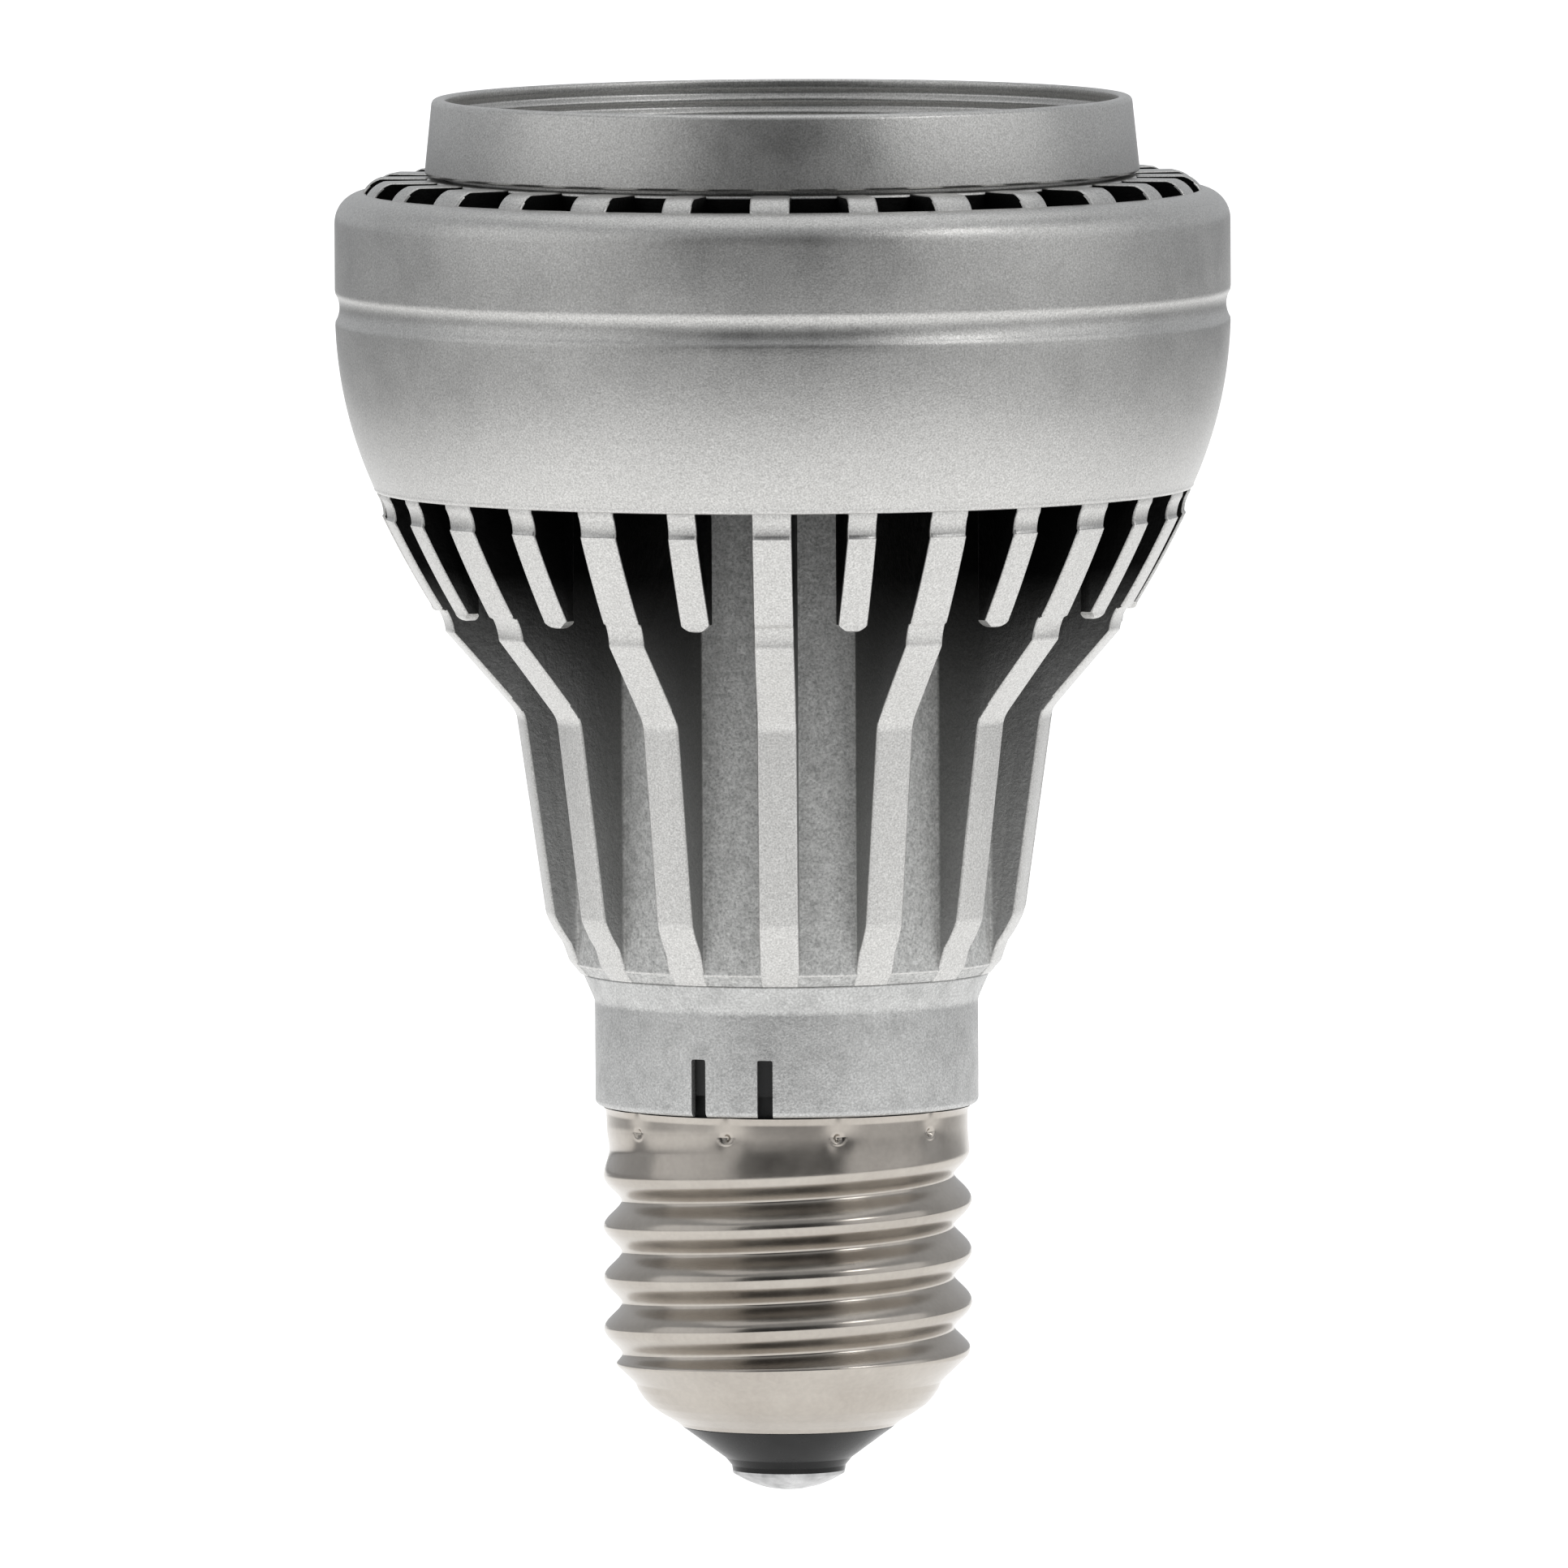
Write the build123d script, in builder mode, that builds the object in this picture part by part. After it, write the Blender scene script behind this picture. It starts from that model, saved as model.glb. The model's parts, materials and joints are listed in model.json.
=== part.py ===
from build123d import *
import math
import os

os.makedirs("parts", exist_ok=True)

# LED reflector lamp, 63.5 mm across, with a 27 mm Edison screw cap.
# The lamp's axis is Z, and the origin is the tip of the centre contact.
# All sizes are in millimetres. Heights are measured from the tip.

# ---------------------------------------------------------------- driving sizes
overall_height = 99.0
collar_radius = 31.75
thread_pitch = 3.63
sheet = 0.3

# front ring
ring_bottom = 93.65
ring_top_radius = 24.8
ring_bottom_radius = 25.35
ring_bore_radius = 23.9
ring_edge_round = 0.35
ring_lip_bottom = 94.6
ring_lip_top = 95.3
ring_lip_radius = 22.2
skirt_radius = 23.92
skirt_bore_radius = 22.9
skirt_bottom = 88.4
groove_pitch = 0.95
groove_depth = 0.3
groove_height = 0.5
groove_count = 3

# lens stack, held in the ring
lens_radius = 22.8
lens_thickness = 1.5
gasket_thickness = 0.6
gasket_inner_radius = 21.8
clip_thickness = 0.8
clip_inner_radius = 21.8
clip_groove_radius = 23.2
clip_gap_angle = 40

# die-cast heat sink
sink_bottom = 36.9
core_radius = 15.3
core_bore_radius = 13.0
core_edge = 0.8
platform_bottom = 79.0
platform_top = 83.0
cup_radius = 25.2
cup_bore_radius = 24.0
cup_ledge_radius = 23.0
cup_top = 93.4
cup_flare_bottom = 74.0
cup_flare_top = 80.5
collar_top = 92.4
collar_bottom = 71.2
collar_bottom_radius = 29.0
collar_inner_radius = 29.5
collar_bottom_wall = 1.4
band_top = 90.2
band_bottom = 85.5
band_groove_bottom = 83.0
band_groove_depth = 0.3
fin_pair_count = 14
long_fin_thickness = 2.8
short_fin_thickness = 2.1
fin_top_radius = 24.6
fin_top_shoulder = 81.0
short_fin_inner_radius = 24.0
short_fin_tip = 62.6
short_fin_tip_round = 0.55
lead_hole_radius = 2.2
screw_circle_radius = 9.5
screw_count = 3
screw_start_angle = 30
screw_hole_radius = 1.35

# outer edge of a fin from the collar to the neck, as (radius, height) points
collar_foot = (28.85, 71.3)
fin_cove = [collar_foot, (28.78, 70.8), (28.55, 70.3), (28.42, 69.9), (28.4, 69.5), (28.48, 69.4)]
fin_bowl_arc = [(28.48, 69.4), (26.68, 65.9), (25.05, 63.1)]
fin_bead = [(25.05, 63.1), (24.72, 62.95), (24.42, 62.3), (24.25, 61.55), (24.15, 61.35)]
fin_waist_arc = [(24.15, 61.35), (21.95, 58.85), (19.6, 56.15)]
fin_shank = [(19.6, 56.15), (19.12, 55.3), (17.12, 41.35)]
fin_foot_arc = [(17.12, 41.35), (16.5, 40.15), (15.9, 39.2)]
fin_foot = [(15.9, 39.2), (15.5, 38.1), (14.6, 36.9)]
short_fin_tip_arc = [(25.05, 63.1), (24.9, 62.75), (24.5, 62.6)]

# spoke over the vent and collar wall, as (radius, height) points
spoke_arc = [(28.3, 93.4), (29.1, 93.1), (29.9, 92.3)]
collar_wall = [(29.9, 92.3), (30.2, 84.0), (29.7, 77.0), collar_foot]
collar_rounding = (31.15, 91.75)
collar_bowl_middle = (31.05, 77.5)
collar_inside = [(29.2, 79.0), (29.5, 84.0)]
collar_lip = 0.1

# neck sleeve and driver housing
neck_radius = 13.6
neck_top_radius = 14.45
neck_bottom = 27.5
neck_chamfer_bottom = 35.0
neck_step = 31.6
neck_bore_radius = 12.95
neck_skirt_bore_radius = 13.05
neck_edge_round = 0.4
tongue_angle = -105.25
tongue_slot_spread = 10.4
tongue_slot_width = 1.1
tongue_slot_height = 4.1
tongue_slot_cut = 4.0
tongue_count = 2
housing_radius = 12.9
housing_bore_radius = 11.9
housing_top = 77.5
housing_shoulder_bottom = 29.0
housing_shoulder_radius = 13.0
housing_spigot_radius = 12.4
housing_spigot_bore_radius = 11.3
housing_spigot_bottom = 24.3
boss_radius = 2.6
boss_bottom = 72.0
pilot_radius = 1.05

# screw cap
shell_top = 27.4
shell_band_radius = 12.9
shell_lip_radius = 13.15
shell_lip_height = 0.5
shell_band_bottom = 22.6
crest_radius = 13.1
root_radius = 11.8
flank_radius = 12.45
flank_offset = 0.95
first_crest = 20.8
crest_count = 4
shoulder_top = (11.2, 8.0)
shoulder_middle = (10.3, 6.4)
shell_edge_radius = 7.6
shell_edge_height = 4.6
dimple_count = 10
dimple_height = 26.0
dimple_radius = 0.6
dimple_depth = 0.2
dimple_start_angle = -72.0
insulator_radius = 7.3
insulator_top = 7.6
insulator_step = [(4.1, 1.8), (4.5, 2.3)]
insulator_seat = 0.1
contact_radius = 4.0
contact_top = 1.4
contact_dome_arc = [(0, 0), (2.2, 0.34), (3.85, 1.15)]
stem_radius = 1.0
stem_top = 8.6

# LED board and optics
pad_radius = 20.0
pad_thickness = 0.3
board_radius = 21.0
board_thickness = 1.6
led_count = 3
led_circle_radius = 11.4
led_side = 3.5
led_height = 0.8
led_corner = 0.3
dome_radius = 1.3
optic_radius = 9.5
optic_foot_radius = 4.0
optic_flange = 0.8
optic_top = 92.4
optic_pocket_radius = 2.2
optic_pocket_depth = 2.6
optic_foot_gap = 0.2
optic_bowl_middle = (7.0, 88.6)
optic_flange_width = 0.5
holder_radius = 21.4
holder_thickness = 1.4
holder_opening_radius = 9.05
holder_foot_circle = 18.8
holder_foot_radius = 1.2
screw_head_radius = 2.25
screw_head_height = 1.5
screw_radius = 1.0
screw_tip = 73.0
recess_length = 2.2
recess_width = 0.5
connector_size = (6.0, 4.6, 2.8)
connector_corner = 0.4
connector_pocket = (1.3, 2.6, 1.4)
connector_pitch = 2.5

# driver board
driver_half_width = 10.0
driver_thickness = 1.2
driver_bottom = 24.0
driver_top = 70.0
rail_inner = 9.2
rail_gap = 0.05
rail_thickness = 1.0
lead_bottom = 64.0
lead_spacing = 2.4
wire_radius = 0.5
cap_wire_radius = 0.6
cap_wire_bend = 1.6
wire_clearance = 0.05

lens_top = ring_lip_bottom
lens_bottom = lens_top - lens_thickness
gasket_bottom = lens_bottom - gasket_thickness
clip_bottom = gasket_bottom - clip_thickness
pad_top = platform_top + pad_thickness
board_top = pad_top + board_thickness
optic_angles = [90 + index * 360 / led_count for index in range(led_count)]
driver_face = driver_thickness / 2


def on_circle(radius, angle):
    """The point at a radius and an angle in degrees about the lamp's axis."""
    return (
        radius * math.cos(math.radians(angle)),
        radius * math.sin(math.radians(angle)),
    )


# ---------------------------------------------------------------- front ring
# The visible band tapers towards the front. Its skirt goes down inside the LED cup.
with BuildPart() as lens_ring:
    with BuildSketch(Plane.XZ):
        with BuildLine():
            Polyline(
                (skirt_bore_radius, skirt_bottom),
                (skirt_radius, skirt_bottom),
                (skirt_radius, ring_bottom),
                (ring_bottom_radius, ring_bottom),
                (ring_top_radius, overall_height),
                (ring_bore_radius, overall_height),
                (ring_bore_radius, ring_lip_top),
                (ring_lip_radius, ring_lip_top),
                (ring_lip_radius, ring_lip_bottom),
                (skirt_bore_radius, ring_lip_bottom),
                close=True,
            )
        make_face()
    revolve(axis=Axis.Z)
    rim_edges = lens_ring.edges().filter_by(GeomType.CIRCLE).group_by(Axis.Z)[-1]
    fillet(rim_edges.sort_by(SortBy.RADIUS)[-1], ring_edge_round)
    # fine grooves round the bore
    with BuildSketch(Plane.XZ):
        for index in range(groove_count):
            with Locations((ring_bore_radius, overall_height - (index + 1) * groove_pitch)):
                Rectangle(2 * groove_depth, groove_height)
    revolve(axis=Axis.Z, mode=Mode.SUBTRACT)
    # groove for the spring clip
    with BuildSketch(Plane.XY.offset(clip_bottom)):
        Circle(clip_groove_radius)
    extrude(amount=clip_thickness, mode=Mode.SUBTRACT)
lens_ring.part.label = "lens_ring"
export_step(lens_ring.part, "parts/lens_ring.step")

# ---------------------------------------------------------------- lens stack
with BuildPart() as front_lens:
    with BuildSketch(Plane.XY.offset(lens_bottom)):
        Circle(lens_radius)
    extrude(amount=lens_thickness)
front_lens.part.label = "front_lens"
export_step(front_lens.part, "parts/front_lens.step")

with BuildPart() as lens_gasket:
    with BuildSketch(Plane.XY.offset(gasket_bottom)):
        Circle(lens_radius)
        Circle(gasket_inner_radius, mode=Mode.SUBTRACT)
    extrude(amount=gasket_thickness)
lens_gasket.part.label = "lens_gasket"
export_step(lens_gasket.part, "parts/lens_gasket.step")

# The clip is an open ring of spring steel that snaps into its groove.
clip_clearance = 0.05
with BuildPart() as lens_clip:
    with BuildSketch(Plane.XY.offset(clip_bottom)):
        Circle(clip_groove_radius - clip_clearance)
        Circle(clip_inner_radius, mode=Mode.SUBTRACT)
        with BuildLine():
            Polyline(
                (0, 0),
                on_circle(2 * clip_groove_radius, -clip_gap_angle / 2),
                on_circle(2 * clip_groove_radius, clip_gap_angle / 2),
                close=True,
            )
        make_face(mode=Mode.SUBTRACT)
    extrude(amount=clip_thickness)
lens_clip.part.label = "lens_clip"
export_step(lens_clip.part, "parts/lens_clip.step")


# ---------------------------------------------------------------- heat sink fins
def fin_face():
    """Draws the outer edge of a fin from under the collar down to the bead."""
    Polyline(*fin_cove)
    ThreePointArc(*fin_bowl_arc)


def spoke_top(inner_radius):
    """Draws the top of a fin, from the LED cup over the vent to the collar's wall."""
    Line((inner_radius, cup_top), spoke_arc[0])
    ThreePointArc(*spoke_arc)
    Polyline(*collar_wall)


# A long fin runs from the vents down to the neck and joins the core all the way.
with BuildPart() as long_fin:
    with BuildSketch(Plane.XZ):
        with BuildLine():
            fin_inner_radius = (core_radius + core_bore_radius) / 2
            Polyline(
                (fin_inner_radius, sink_bottom),
                (fin_inner_radius, fin_top_shoulder),
                (fin_top_radius, fin_top_shoulder),
                (fin_top_radius, cup_top),
            )
            spoke_top(fin_top_radius)
            fin_face()
            Polyline(*fin_bead)
            ThreePointArc(*fin_waist_arc)
            Polyline(*fin_shank)
            ThreePointArc(*fin_foot_arc)
            Polyline(*fin_foot, (fin_inner_radius, sink_bottom))
        make_face()
    extrude(amount=long_fin_thickness / 2, both=True)

# A short fin hangs from the collar and the LED cup, and ends in a rounded tip.
with BuildPart() as short_fin:
    with BuildSketch(Plane.XZ):
        with BuildLine():
            Line((short_fin_inner_radius, short_fin_tip), (short_fin_inner_radius, cup_top))
            spoke_top(short_fin_inner_radius)
            fin_face()
            ThreePointArc(*short_fin_tip_arc)
            Line(short_fin_tip_arc[-1], (short_fin_inner_radius, short_fin_tip))
        make_face()
    extrude(amount=short_fin_thickness / 2, both=True)
    with BuildSketch(Plane.YZ):
        with BuildLine():
            half_fin = short_fin_thickness / 2
            Polyline(
                (half_fin, short_fin_tip + short_fin_tip_round),
                (half_fin, cup_top),
                (-half_fin, cup_top),
                (-half_fin, short_fin_tip + short_fin_tip_round),
            )
            ThreePointArc(
                (-half_fin, short_fin_tip + short_fin_tip_round),
                (0, short_fin_tip),
                (half_fin, short_fin_tip + short_fin_tip_round),
            )
        make_face()
    extrude(amount=collar_radius, mode=Mode.INTERSECT)

# The core tube carries the LED cup. Fins, vent spokes and collar are cast with it.
with BuildPart() as heat_sink:
    with BuildSketch(Plane.XZ):
        with BuildLine():
            Polyline(
                (core_bore_radius, sink_bottom),
                (core_radius - core_edge, sink_bottom),
                (core_radius, sink_bottom + core_edge),
                (core_radius, cup_flare_bottom),
                (cup_radius, cup_flare_top),
                (cup_radius, cup_top),
                (cup_bore_radius, cup_top),
                (cup_bore_radius, skirt_bottom),
                (cup_ledge_radius, skirt_bottom),
                (cup_ledge_radius, platform_top),
                (lead_hole_radius, platform_top),
                (lead_hole_radius, platform_bottom),
                (core_bore_radius, platform_bottom),
                close=True,
            )
        make_face()
    revolve(axis=Axis.Z)
    with BuildSketch(Plane.XZ):
        with BuildLine():
            groove_middle = (
                collar_radius - band_groove_depth,
                (band_bottom + band_groove_bottom) / 2,
            )
            Line((collar_inner_radius, collar_top), (collar_inner_radius + collar_lip, collar_top))
            ThreePointArc(
                (collar_inner_radius + collar_lip, collar_top),
                collar_rounding,
                (collar_radius, band_top),
            )
            Line((collar_radius, band_top), (collar_radius, band_bottom))
            ThreePointArc(
                (collar_radius, band_bottom),
                groove_middle,
                (collar_radius, band_groove_bottom),
            )
            ThreePointArc(
                (collar_radius, band_groove_bottom),
                collar_bowl_middle,
                (collar_bottom_radius, collar_bottom),
            )
            Polyline(
                (collar_bottom_radius, collar_bottom),
                (collar_bottom_radius - collar_bottom_wall, collar_bottom),
                *collar_inside,
                (collar_inner_radius, collar_top),
            )
        make_face()
    revolve(axis=Axis.Z)
    fin_step = 360 / fin_pair_count
    with PolarLocations(0, fin_pair_count, start_angle=-90):
        add(long_fin.part)
    with PolarLocations(0, fin_pair_count, start_angle=-90 + fin_step / 2):
        add(short_fin.part)
    # screw holes through the LED platform
    with Locations(Plane.XY.offset(platform_top)):
        with PolarLocations(screw_circle_radius, screw_count, start_angle=screw_start_angle):
            Hole(screw_hole_radius, depth=platform_top - platform_bottom)
heat_sink.part.label = "heat_sink"
export_step(heat_sink.part, "parts/heat_sink.step")

# ---------------------------------------------------------------- neck sleeve
# The skirt hides the housing's shoulder. Pairs of slots free two snap tongues.
with BuildPart() as neck_sleeve:
    with BuildSketch(Plane.XZ):
        with BuildLine():
            Polyline(
                (neck_skirt_bore_radius, neck_bottom),
                (neck_radius, neck_bottom),
                (neck_radius, neck_chamfer_bottom),
                (neck_top_radius, sink_bottom),
                (neck_bore_radius, sink_bottom),
                (neck_bore_radius, neck_step),
                (neck_skirt_bore_radius, neck_step),
                close=True,
            )
        make_face()
    revolve(axis=Axis.Z)
    foot_edges = neck_sleeve.edges().filter_by(GeomType.CIRCLE).group_by(Axis.Z)[0]
    fillet(foot_edges.sort_by(SortBy.RADIUS)[-1], neck_edge_round)
    for side in (-1, 1):
        slot_angle = tongue_angle + side * tongue_slot_spread
        with BuildSketch(Plane.XY.offset(neck_bottom)):
            with PolarLocations(neck_radius, tongue_count, start_angle=slot_angle):
                Rectangle(tongue_slot_cut, tongue_slot_width)
        extrude(amount=tongue_slot_height, mode=Mode.SUBTRACT)
neck_sleeve.part.label = "neck_sleeve"
export_step(neck_sleeve.part, "parts/neck_sleeve.step")

# ---------------------------------------------------------------- driver housing
with BuildPart() as driver_housing:
    with BuildSketch(Plane.XZ):
        with BuildLine():
            Polyline(
                (housing_spigot_bore_radius, housing_spigot_bottom),
                (housing_spigot_radius, housing_spigot_bottom),
                (housing_spigot_radius, housing_shoulder_bottom),
                (housing_shoulder_radius, housing_shoulder_bottom),
                (housing_shoulder_radius, neck_step),
                (housing_radius, neck_step),
                (housing_radius, housing_top),
                (housing_bore_radius, housing_top),
                (housing_bore_radius, neck_step),
                (housing_spigot_bore_radius, neck_step),
                close=True,
            )
        make_face()
    revolve(axis=Axis.Z)
    # screw bosses grow from the wall
    with BuildSketch(Plane.XY.offset(boss_bottom)):
        with PolarLocations(screw_circle_radius, screw_count, start_angle=screw_start_angle):
            Circle(boss_radius)
            Circle(pilot_radius, mode=Mode.SUBTRACT)
    extrude(amount=housing_top - boss_bottom)
    # rails hold the driver board by its long edges
    with BuildSketch(Plane.XY.offset(neck_step)):
        rail_middle = (rail_inner + housing_bore_radius) / 2
        rail_y = driver_face + rail_gap + rail_thickness / 2
        with Locations(*[(x, y) for x in (-rail_middle, rail_middle) for y in (-rail_y, rail_y)]):
            Rectangle(housing_bore_radius - rail_inner, rail_thickness)
    extrude(amount=driver_top - neck_step)
driver_housing.part.label = "driver_housing"
export_step(driver_housing.part, "parts/driver_housing.step")

with BuildPart() as housing_lid:
    with BuildSketch(Plane.XY.offset(housing_top)):
        Circle(housing_radius)
        Circle(lead_hole_radius, mode=Mode.SUBTRACT)
        with PolarLocations(screw_circle_radius, screw_count, start_angle=screw_start_angle):
            Circle(screw_hole_radius, mode=Mode.SUBTRACT)
    extrude(amount=platform_bottom - housing_top)
housing_lid.part.label = "housing_lid"
export_step(housing_lid.part, "parts/housing_lid.step")


# ---------------------------------------------------------------- screw cap
def shell_outline(inset):
    """Draws the shell's profile from top to bottom, moved inwards by the inset."""
    band = shell_band_radius - inset
    flank = flank_radius - inset
    crests = [first_crest - index * thread_pitch for index in range(crest_count)]
    Line((band, shell_top - shell_lip_height), (band, shell_band_bottom))
    Line((band, shell_band_bottom), (flank, crests[0] + flank_offset))
    for index, crest in enumerate(crests):
        ThreePointArc(
            (flank, crest + flank_offset),
            (crest_radius - inset, crest),
            (flank, crest - flank_offset),
        )
        if index < crest_count - 1:
            ThreePointArc(
                (flank, crest - flank_offset),
                (root_radius - inset, crest - thread_pitch / 2),
                (flank, crest - thread_pitch + flank_offset),
            )
    shoulder_start = (shoulder_top[0] - inset, shoulder_top[1] + inset / 2)
    Line((flank, crests[-1] - flank_offset), shoulder_start)
    ThreePointArc(
        shoulder_start,
        (shoulder_middle[0] - inset, shoulder_middle[1] + inset / 2),
        (shell_edge_radius, shell_edge_height + inset),
    )


# The thread is round-crested sheet metal, formed with the shell.
with BuildPart() as cap_shell:
    with BuildSketch(Plane.XZ):
        with BuildLine():
            shell_outline(0)
            shell_outline(sheet)
            Polyline(
                (shell_band_radius, shell_top - shell_lip_height),
                (shell_lip_radius, shell_top),
                (shell_band_radius - sheet, shell_top),
                (shell_band_radius - sheet, shell_top - shell_lip_height),
            )
            Line(
                (shell_edge_radius, shell_edge_height),
                (shell_edge_radius, shell_edge_height + sheet),
            )
        make_face()
    revolve(axis=Axis.Z)
    # crimp dimples round the band
    with Locations((0, 0, dimple_height)):
        with PolarLocations(
            shell_band_radius + dimple_radius - dimple_depth,
            dimple_count,
            start_angle=dimple_start_angle,
        ):
            Sphere(dimple_radius, mode=Mode.SUBTRACT)
cap_shell.part.label = "cap_shell"
export_step(cap_shell.part, "parts/cap_shell.step")

with BuildPart() as cap_insulator:
    with BuildSketch(Plane.XZ):
        with BuildLine():
            Polyline(
                (stem_radius, contact_top),
                (contact_radius, contact_top),
                *insulator_step,
                (shell_edge_radius, shell_edge_height),
                (insulator_radius, shell_edge_height + insulator_seat),
                (insulator_radius, insulator_top),
                (stem_radius, insulator_top),
                close=True,
            )
        make_face()
    revolve(axis=Axis.Z)
cap_insulator.part.label = "cap_insulator"
export_step(cap_insulator.part, "parts/cap_insulator.step")

with BuildPart() as centre_contact:
    with BuildSketch(Plane.XZ):
        with BuildLine():
            ThreePointArc(*contact_dome_arc)
            Polyline(
                contact_dome_arc[-1],
                (contact_radius, contact_top),
                (stem_radius, contact_top),
                (stem_radius, stem_top),
                (0, stem_top),
                (0, 0),
            )
        make_face()
    revolve(axis=Axis.Z)
centre_contact.part.label = "centre_contact"
export_step(centre_contact.part, "parts/centre_contact.step")

# ---------------------------------------------------------------- LED board
with BuildPart() as thermal_pad:
    with BuildSketch(Plane.XY.offset(platform_top)):
        Circle(pad_radius)
        Circle(lead_hole_radius, mode=Mode.SUBTRACT)
        with PolarLocations(screw_circle_radius, screw_count, start_angle=screw_start_angle):
            Circle(screw_hole_radius, mode=Mode.SUBTRACT)
    extrude(amount=pad_thickness)
thermal_pad.part.label = "thermal_pad"
export_step(thermal_pad.part, "parts/thermal_pad.step")

with BuildPart() as led_board:
    with BuildSketch(Plane.XY.offset(pad_top)):
        Circle(board_radius)
        Circle(lead_hole_radius, mode=Mode.SUBTRACT)
        with PolarLocations(screw_circle_radius, screw_count, start_angle=screw_start_angle):
            Circle(screw_hole_radius, mode=Mode.SUBTRACT)
    extrude(amount=board_thickness)
led_board.part.label = "led_board"
export_step(led_board.part, "parts/led_board.step")

with BuildPart() as board_screws:
    with Locations(Plane.XY.offset(board_top)):
        with PolarLocations(screw_circle_radius, screw_count, start_angle=screw_start_angle):
            Cylinder(
                screw_head_radius,
                screw_head_height,
                align=(Align.CENTER, Align.CENTER, Align.MIN),
            )
    top_edges = board_screws.edges().filter_by(GeomType.CIRCLE).group_by(Axis.Z)[-1]
    fillet(top_edges, screw_head_height / 2)
    with Locations(Plane.XY.offset(board_top)):
        with PolarLocations(screw_circle_radius, screw_count, start_angle=screw_start_angle):
            Cylinder(
                screw_radius,
                board_top - screw_tip,
                align=(Align.CENTER, Align.CENTER, Align.MAX),
            )
    # cross recess in each head
    with BuildSketch(Plane.XY.offset(board_top + screw_head_height)):
        with PolarLocations(screw_circle_radius, screw_count, start_angle=screw_start_angle):
            Rectangle(recess_length, recess_width)
            Rectangle(recess_width, recess_length)
    extrude(amount=-screw_head_height / 2, mode=Mode.SUBTRACT)
board_screws.part.label = "board_screws"
export_step(board_screws.part, "parts/board_screws.step")

with BuildPart() as led_connector:
    with BuildSketch(Plane.XY.offset(board_top)):
        Rectangle(connector_size[0], connector_size[1])
    extrude(amount=connector_size[2])
    fillet(led_connector.edges().filter_by(Axis.Z), connector_corner)
    with BuildSketch(Plane.XY.offset(board_top + connector_size[2])):
        with GridLocations(connector_pitch, 0, 2, 1):
            Rectangle(connector_pocket[0], connector_pocket[1])
    extrude(amount=-connector_pocket[2], mode=Mode.SUBTRACT)
led_connector.part.label = "led_connector"
export_step(led_connector.part, "parts/led_connector.step")

for name, side in (("red", -1), ("black", 1)):
    with BuildPart() as led_lead:
        with BuildSketch(Plane.XY.offset(lead_bottom)):
            with Locations((side * lead_spacing / 2, driver_face + wire_radius)):
                Circle(wire_radius)
        extrude(amount=board_top - lead_bottom)
    led_lead.part.label = f"led_lead_{name}"
    export_step(led_lead.part, f"parts/led_lead_{name}.step")

# ---------------------------------------------------------------- LEDs and optics
holder_top = optic_top - optic_flange
optic_foot = board_top + led_height + optic_foot_gap
optic_bowl_radius = optic_radius - optic_flange_width
for number, angle in enumerate(optic_angles, start=1):
    x, y = on_circle(led_circle_radius, angle)
    with BuildPart() as led_package:
        with BuildSketch(Plane.XY.offset(board_top)):
            with Locations((x, y)):
                Rectangle(led_side, led_side)
        extrude(amount=led_height)
        chamfer(led_package.edges().filter_by(Axis.Z), led_corner)
    led_package.part.label = f"led_package_{number}"
    export_step(led_package.part, f"parts/led_package_{number}.step")

    axial = Plane(origin=(x, y, 0), x_dir=(1, 0, 0), z_dir=(0, -1, 0))
    optic_axis = Axis((x, y, 0), (0, 0, 1))
    with BuildPart() as led_dome:
        with BuildSketch(axial):
            with BuildLine():
                dome_foot = board_top + led_height
                Polyline((0, dome_foot + dome_radius), (0, dome_foot), (dome_radius, dome_foot))
                RadiusArc(
                    (dome_radius, dome_foot), (0, dome_foot + dome_radius), -dome_radius
                )
            make_face()
        revolve(axis=optic_axis)
    led_dome.part.label = f"led_dome_{number}"
    export_step(led_dome.part, f"parts/led_dome_{number}.step")

    # A collimator is a solid bowl with a flange at its rim and a pocket over the LED.
    with BuildPart() as tir_optic:
        with BuildSketch(axial):
            with BuildLine():
                ThreePointArc(
                    (optic_foot_radius, optic_foot),
                    optic_bowl_middle,
                    (optic_bowl_radius, holder_top),
                )
                Polyline(
                    (optic_bowl_radius, holder_top),
                    (optic_radius, holder_top),
                    (optic_radius, optic_top),
                    (0, optic_top),
                    (0, optic_foot + optic_pocket_depth),
                    (optic_pocket_radius, optic_foot + optic_pocket_depth),
                    (optic_pocket_radius, optic_foot),
                    (optic_foot_radius, optic_foot),
                )
            make_face()
        revolve(axis=optic_axis)
    tir_optic.part.label = f"tir_optic_{number}"
    export_step(tir_optic.part, f"parts/tir_optic_{number}.step")

# The holder's plate carries the optics by their flanges, on three feet.
with BuildPart() as optic_holder:
    with BuildSketch(Plane.XY.offset(holder_top - holder_thickness)):
        Circle(holder_radius)
        with PolarLocations(led_circle_radius, led_count, start_angle=optic_angles[0]):
            Circle(holder_opening_radius, mode=Mode.SUBTRACT)
    extrude(amount=holder_thickness)
    with BuildSketch(Plane.XY.offset(board_top)):
        with PolarLocations(holder_foot_circle, led_count, start_angle=screw_start_angle):
            Circle(holder_foot_radius)
    extrude(amount=holder_top - holder_thickness - board_top)
optic_holder.part.label = "optic_holder"
export_step(optic_holder.part, "parts/optic_holder.step")

# ---------------------------------------------------------------- driver
with BuildPart() as driver_board:
    with BuildSketch(Plane.XY.offset(driver_bottom)):
        Rectangle(2 * driver_half_width, driver_thickness)
    extrude(amount=driver_top - driver_bottom)
driver_board.part.label = "driver_board"
export_step(driver_board.part, "parts/driver_board.step")

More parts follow.
